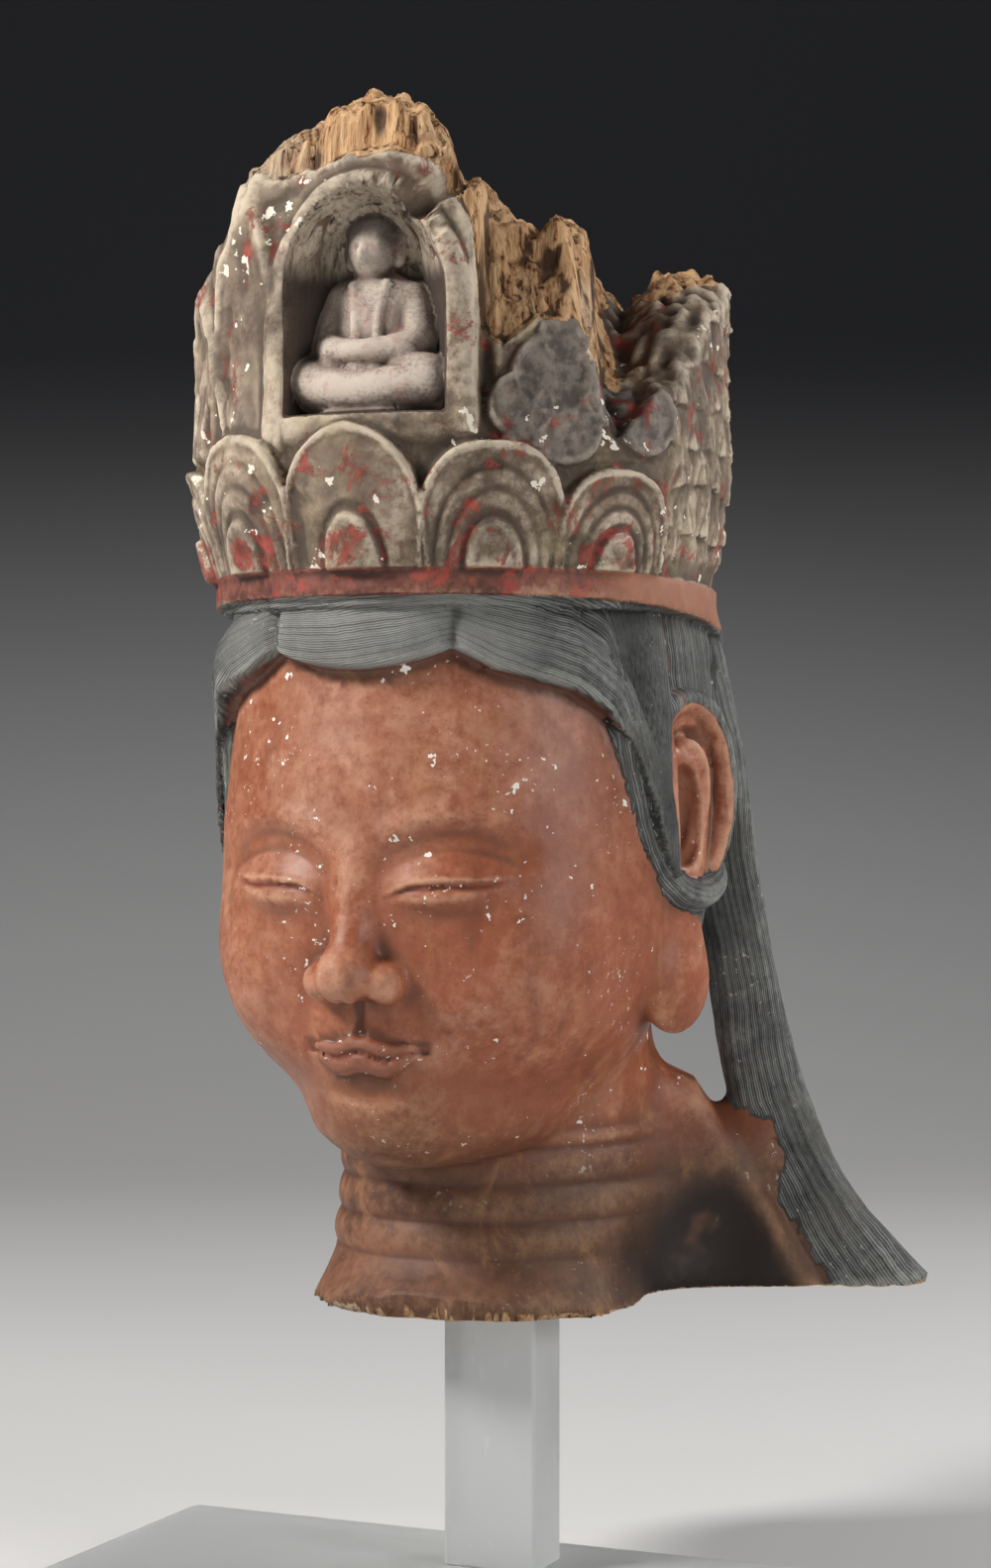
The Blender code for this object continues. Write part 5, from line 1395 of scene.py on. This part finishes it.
def rounded_bar(name, low, high, upright_edge, edge):
    """A bar between two corners, its upright edges rounded first and then every edge eased."""
    deselect_all()
    middle = (low + high) / 2
    size = high - low
    bpy.ops.mesh.primitive_cube_add(size=1.0, location=middle, scale=size)
    bar = bpy.context.object
    bar.name = name
    bpy.ops.object.transform_apply(location=True, rotation=True, scale=True)
    bpy.ops.object.mode_set(mode="EDIT")
    bpy.ops.mesh.select_all(action="DESELECT")
    bpy.ops.object.mode_set(mode="OBJECT")
    for edge_line in bar.data.edges:
        foot, head = (bar.data.vertices[index].co for index in edge_line.vertices)
        edge_line.select = abs(foot.z - head.z) > size.z / 2
    bpy.ops.object.mode_set(mode="EDIT")
    bpy.ops.mesh.select_mode(type="EDGE")
    bpy.ops.mesh.bevel(offset=upright_edge, segments=8)
    bpy.ops.mesh.select_all(action="SELECT")
    bpy.ops.object.mode_set(mode="OBJECT")
    apply_modifier(bar, "BEVEL", {"width": edge, "segments": 3, "limit_method": "ANGLE",
                                  "angle_limit": radians(40.0)})
    make_active(bar)
    bpy.ops.object.shade_smooth_by_angle(angle=radians(35.0))
    return bar


def use_material(piece, material):
    piece.data.materials.clear()
    piece.data.materials.append(material)


class CarvedHeadLooks(bpy.types.PropertyGroup):
    """Colours and wear of the carved head."""

    skin_colour: bpy.props.FloatVectorProperty(
        name="Cheek Colour", description="Red-brown lacquer of the cheeks", subtype="COLOR", size=3,
        default=(0.315, 0.092, 0.042), min=0.0, max=1.0)
    # Also laid over the face's left side as painted light
    brow_colour: bpy.props.FloatVectorProperty(
        name="Brow Colour", description="Paler, more worn lacquer of the forehead", subtype="COLOR", size=3,
        default=(0.400, 0.170, 0.102), min=0.0, max=1.0)
    neck_colour: bpy.props.FloatVectorProperty(
        name="Neck Colour", description="Browner lacquer of the neck and chest", subtype="COLOR", size=3,
        default=(0.125, 0.058, 0.030), min=0.0, max=1.0)
    hair_colour: bpy.props.FloatVectorProperty(
        name="Hair Colour", description="Blue-grey paint of the hair", subtype="COLOR", size=3,
        default=(0.088, 0.092, 0.090), min=0.0, max=1.0)
    # The crown's ground on its right side; the left side gets a lighter copy as painted light
    gesso_colour: bpy.props.FloatVectorProperty(
        name="Gesso Colour", description="Tan ground that shows on the crown", subtype="COLOR", size=3,
        default=(0.255, 0.190, 0.135), min=0.0, max=1.0)
    figure_colour: bpy.props.FloatVectorProperty(
        name="Figure Colour", description="Pale ground of the small seated figure", subtype="COLOR", size=3,
        default=(0.42, 0.345, 0.290), min=0.0, max=1.0)
    red_colour: bpy.props.FloatVectorProperty(
        name="Red Paint", description="Remains of red paint on the crown and its band", subtype="COLOR",
        size=3, default=(0.33, 0.055, 0.040), min=0.0, max=1.0)
    wood_colour: bpy.props.FloatVectorProperty(
        name="Bare Wood", description="Pale fibres of the broken wood", subtype="COLOR", size=3,
        default=(0.62, 0.40, 0.215), min=0.0, max=1.0)
    flecks: bpy.props.FloatProperty(
        name="Flecks", description="How many white flecks of lost paint", default=0.62, min=0.0, max=1.0,
        subtype="FACTOR")
    fine_voxel: bpy.props.FloatProperty(
        name="Detail Size", description="Spacing of the points that carry the relief", default=FINE_VOXEL,
        min=0.001, max=0.004, subtype="DISTANCE", unit="LENGTH")


class StandLooks(bpy.types.PropertyGroup):
    """Colour and frosting of the acrylic stand."""

    acrylic_colour: bpy.props.FloatVectorProperty(
        name="Acrylic Colour", description="Tint of the frosted acrylic", subtype="COLOR", size=3,
        default=(0.80, 0.82, 0.825), min=0.0, max=1.0)
    frosting: bpy.props.FloatProperty(
        name="Frosting", description="Roughness of the frosted faces", default=0.50, min=0.1, max=1.0,
        subtype="FACTOR")
    clearness: bpy.props.FloatProperty(
        name="Clearness", description="Share of the light that passes through", default=0.62, min=0.0,
        max=1.0, subtype="FACTOR")
    eased_edge: bpy.props.FloatProperty(
        name="Eased Edge", description="Width of the polished edge", default=0.0010, min=0.0002, max=0.002,
        subtype="DISTANCE", unit="LENGTH")


class StageLooks(bpy.types.PropertyGroup):
    """Floor, lights and camera round the head."""

    floor_colour: bpy.props.FloatVectorProperty(
        name="Floor Colour", description="Pale floor and backdrop", subtype="COLOR", size=3,
        default=(0.66, 0.66, 0.66), min=0.0, max=1.0)
    backdrop_colour: bpy.props.FloatVectorProperty(
        name="Backdrop Colour", description="Darker head of the curved backdrop", subtype="COLOR", size=3,
        default=(0.035, 0.036, 0.040), min=0.0, max=1.0)
    key_power: bpy.props.FloatProperty(
        name="Key Light", description="Power of the large soft light", default=50.0, min=0.0, max=500.0,
        unit="POWER")
    fill_power: bpy.props.FloatProperty(
        name="Fill Light", description="Power of the softer light from the other side", default=17.0,
        min=0.0,
        max=500.0, unit="POWER")
    lens: bpy.props.FloatProperty(
        name="Lens", description="Focal length for a frame 36 mm tall", default=72.8, min=20.0, max=200.0,
        unit="CAMERA")


class OBJECT_OT_carve_head(bpy.types.Operator):
    """Carves the head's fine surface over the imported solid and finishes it"""

    bl_idname = "object.carve_head"
    bl_label = "Carve Head"

    def execute(self, context):
        looks = context.scene.carved_head
        head = copy_of_node("head", "carved_head")
        clear_niche(head)
        block_in_forms(head)
        apply_modifier(head, "REMESH", {"mode": "VOXEL", "voxel_size": ROUGH_VOXEL})
        move_onto_carving(head, 3, LONG_STEP)
        smooth_points(head, 2, 0.5)
        move_onto_carving(head, 2, MIDDLE_STEP)
        apply_modifier(head, "REMESH", {"mode": "VOXEL", "voxel_size": looks.fine_voxel})
        smooth_points(head, 1, 0.5)
        move_onto_carving(head, 2, SHORT_STEP)
        points = mesh_points(head.data)
        normals = mesh_normals(head.data)
        relief = fine_relief(points - HEAD_AXIS, normals)
        place_points(head.data, points + normals * relief[:, None])
        ratio = HEAD_TRIANGLES / (2 * len(head.data.polygons))
        if ratio < 1.0:
            apply_modifier(head, "DECIMATE", {"ratio": ratio})
        write_zones(head.data)
        make_active(head)
        bpy.ops.object.shade_smooth()
        build_worn_paint()
        build_flecks()
        build_wood_fibre()
        use_material(head, build_head_material(looks))
        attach(head, "root")
        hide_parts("head")
        return {"FINISHED"}


class OBJECT_OT_frost_stand(bpy.types.Operator):
    """Makes the frosted acrylic post and base plate"""

    bl_idname = "object.frost_stand"
    bl_label = "Frost Stand"

    def execute(self, context):
        looks = context.scene.acrylic_stand
        # Painted light: the thick base keeps the full acrylic colour and the post is toned a little darker
        for node, slot, corner, tone in (("base", "base_acrylic", BASE_CORNER, 1.0),
                                         ("post", "post_acrylic", POST_EDGE, 0.94)):
            low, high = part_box(node)
            piece = rounded_bar("frosted_" + node, low, high, corner, looks.eased_edge)
            use_material(piece, build_acrylic_material("frosted_acrylic_" + node, looks, tone))
            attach(piece, "root")
            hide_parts(node)
        return {"FINISHED"}


class OBJECT_OT_set_head_stage(bpy.types.Operator):
    """Sets the pale floor and backdrop, the soft lights and the camera"""

    bl_idname = "object.set_head_stage"
    bl_label = "Set Stage"

    def execute(self, context):
        looks = context.scene.head_stage
        deselect_all()
        turn = radians(CAMERA_TURN)
        bpy.ops.mesh.primitive_plane_add(size=FLOOR_SIZE, location=(0.0, 0.0, -FLOOR_GAP),
                                         rotation=(0.0, 0.0, turn))
        floor = bpy.context.object
        floor.name = "floor_and_backdrop"
        bpy.ops.object.transform_apply(location=True, rotation=True, scale=True)
        bpy.ops.object.mode_set(mode="EDIT")
        bpy.ops.mesh.select_all(action="DESELECT")
        bpy.ops.object.mode_set(mode="OBJECT")
        away = np.array((-sin(turn), cos(turn)))
        for edge in floor.data.edges:
            places = [np.array(floor.data.vertices[index].co[:2]) @ away for index in edge.vertices]
            edge.select = min(places) > FLOOR_SIZE / 2 - 0.1
        bpy.ops.object.mode_set(mode="EDIT")
        bpy.ops.mesh.select_mode(type="EDGE")
        bpy.ops.mesh.extrude_region_move(TRANSFORM_OT_translate={"value": (0.0, 0.0, BACKDROP_TALL)})
        bpy.ops.object.mode_set(mode="OBJECT")
        for edge in floor.data.edges:
            places = [floor.data.vertices[index].co for index in edge.vertices]
            edge.select = all(place.z < 0.1 and np.array(place[:2]) @ away > FLOOR_SIZE / 2 - 0.1
                              for place in places)
        bpy.ops.object.mode_set(mode="EDIT")
        bpy.ops.mesh.bevel(offset=BACKDROP_BEND, segments=24)
        bpy.ops.object.mode_set(mode="OBJECT")
        bpy.ops.object.shade_smooth()
        material = bpy.data.materials.new("pale_floor")
        material.use_nodes = True
        nodes = Nodes(material.node_tree)
        place = nodes.add("ShaderNodeTexCoord").outputs["Object"]
        grain = nodes.noise(place, 3.0, 3.0, 0.5)
        colour = nodes.mix(grain, [shade * 0.96 for shade in looks.floor_colour], looks.floor_colour[:])
        height = nodes.add("ShaderNodeSeparateXYZ", {}, {"Vector": place}).outputs[2]
        colour = nodes.mix(nodes.span(height, 0.02, 1.1), colour, looks.backdrop_colour[:])
        shader = nodes.add("ShaderNodeBsdfPrincipled", {}, {"Base Color": colour, "Roughness": 0.7})
        nodes.add("ShaderNodeOutputMaterial", {}, {"Surface": shader.outputs[0]})
        use_material(floor, material)

        world = bpy.data.worlds.new("soft_studio")
        world.use_nodes = True
        context.scene.world = world
        background = world.node_tree.nodes["Background"]
        background.inputs["Color"].default_value = (0.85, 0.90, 1.0, 1.0)
        background.inputs["Strength"].default_value = 0.09
        for name, spot, aim, size, power, colour in (
                ("key", (-1.15, -1.10, 1.50), (0.0, 0.0, 0.40), 0.5, looks.key_power, (1.0, 0.97, 0.93)),
                ("fill", (1.75, -0.30, 0.80), (0.0, 0.0, 0.38), 0.7, looks.fill_power, (1.0, 0.98, 0.96)),
                ("rim", (1.10, 1.25, 1.20), (0.0, 0.05, 0.45), 0.6, looks.fill_power, (1.0, 0.99, 0.97)),
                ("low", (0.1, -1.6, 0.2), (0.0, 0.0, 0.3), 0.9, looks.fill_power * 0.16,
                 (1.0, 0.98, 0.95))):
            lamp = bpy.data.lights.new(name, "AREA")
            lamp.shape = "DISK"
            lamp.size = size
            lamp.energy = power
            lamp.color = colour
            light = bpy.data.objects.new(name, lamp)
            context.scene.collection.objects.link(light)
            light.location = spot
            sight = Vector(aim) - Vector(spot)
            light.rotation_euler = sight.to_track_quat("-Z", "Y").to_euler()

        lens = bpy.data.cameras.new("camera")
        lens.sensor_fit = "VERTICAL"
        lens.sensor_height = 36.0
        lens.lens = looks.lens
        lens.clip_start = 0.05
        camera = bpy.data.objects.new("camera", lens)
        context.scene.collection.objects.link(camera)
        camera.location = (*CAMERA_PLACE, EYE_Z)
        camera.rotation_euler = (pi / 2, 0.0, turn)
        context.scene.camera = camera
        context.scene.view_settings.view_transform = "Standard"
        return {"FINISHED"}


class VIEW3D_PT_carved_head(bpy.types.Panel):
    """Lists the steps and their settings in the sidebar"""

    bl_label = "Carved Head"
    bl_idname = "VIEW3D_PT_carved_head"
    bl_space_type = "VIEW_3D"
    bl_region_type = "UI"
    bl_category = "Carved Head"

    def draw(self, context):
        for operator, group in (("object.carve_head", context.scene.carved_head),
                                ("object.frost_stand", context.scene.acrylic_stand),
                                ("object.set_head_stage", context.scene.head_stage)):
            box = self.layout.box()
            for name in group.bl_rna.properties.keys():
                if name not in ("rna_type", "name"):
                    box.prop(group, name)
            box.operator(operator)


CLASSES = (CarvedHeadLooks, StandLooks, StageLooks, OBJECT_OT_carve_head, OBJECT_OT_frost_stand,
           OBJECT_OT_set_head_stage, VIEW3D_PT_carved_head)


def register():
    for kind in CLASSES:
        bpy.utils.register_class(kind)
    bpy.types.Scene.carved_head = bpy.props.PointerProperty(type=CarvedHeadLooks)
    bpy.types.Scene.acrylic_stand = bpy.props.PointerProperty(type=StandLooks)
    bpy.types.Scene.head_stage = bpy.props.PointerProperty(type=StageLooks)


def unregister():
    del bpy.types.Scene.head_stage
    del bpy.types.Scene.acrylic_stand
    del bpy.types.Scene.carved_head
    for kind in reversed(CLASSES):
        bpy.utils.unregister_class(kind)


def main():
    register()
    bpy.ops.object.frost_stand()
    bpy.ops.object.carve_head()
    bpy.ops.object.set_head_stage()


if __name__ == "__main__":
    main()
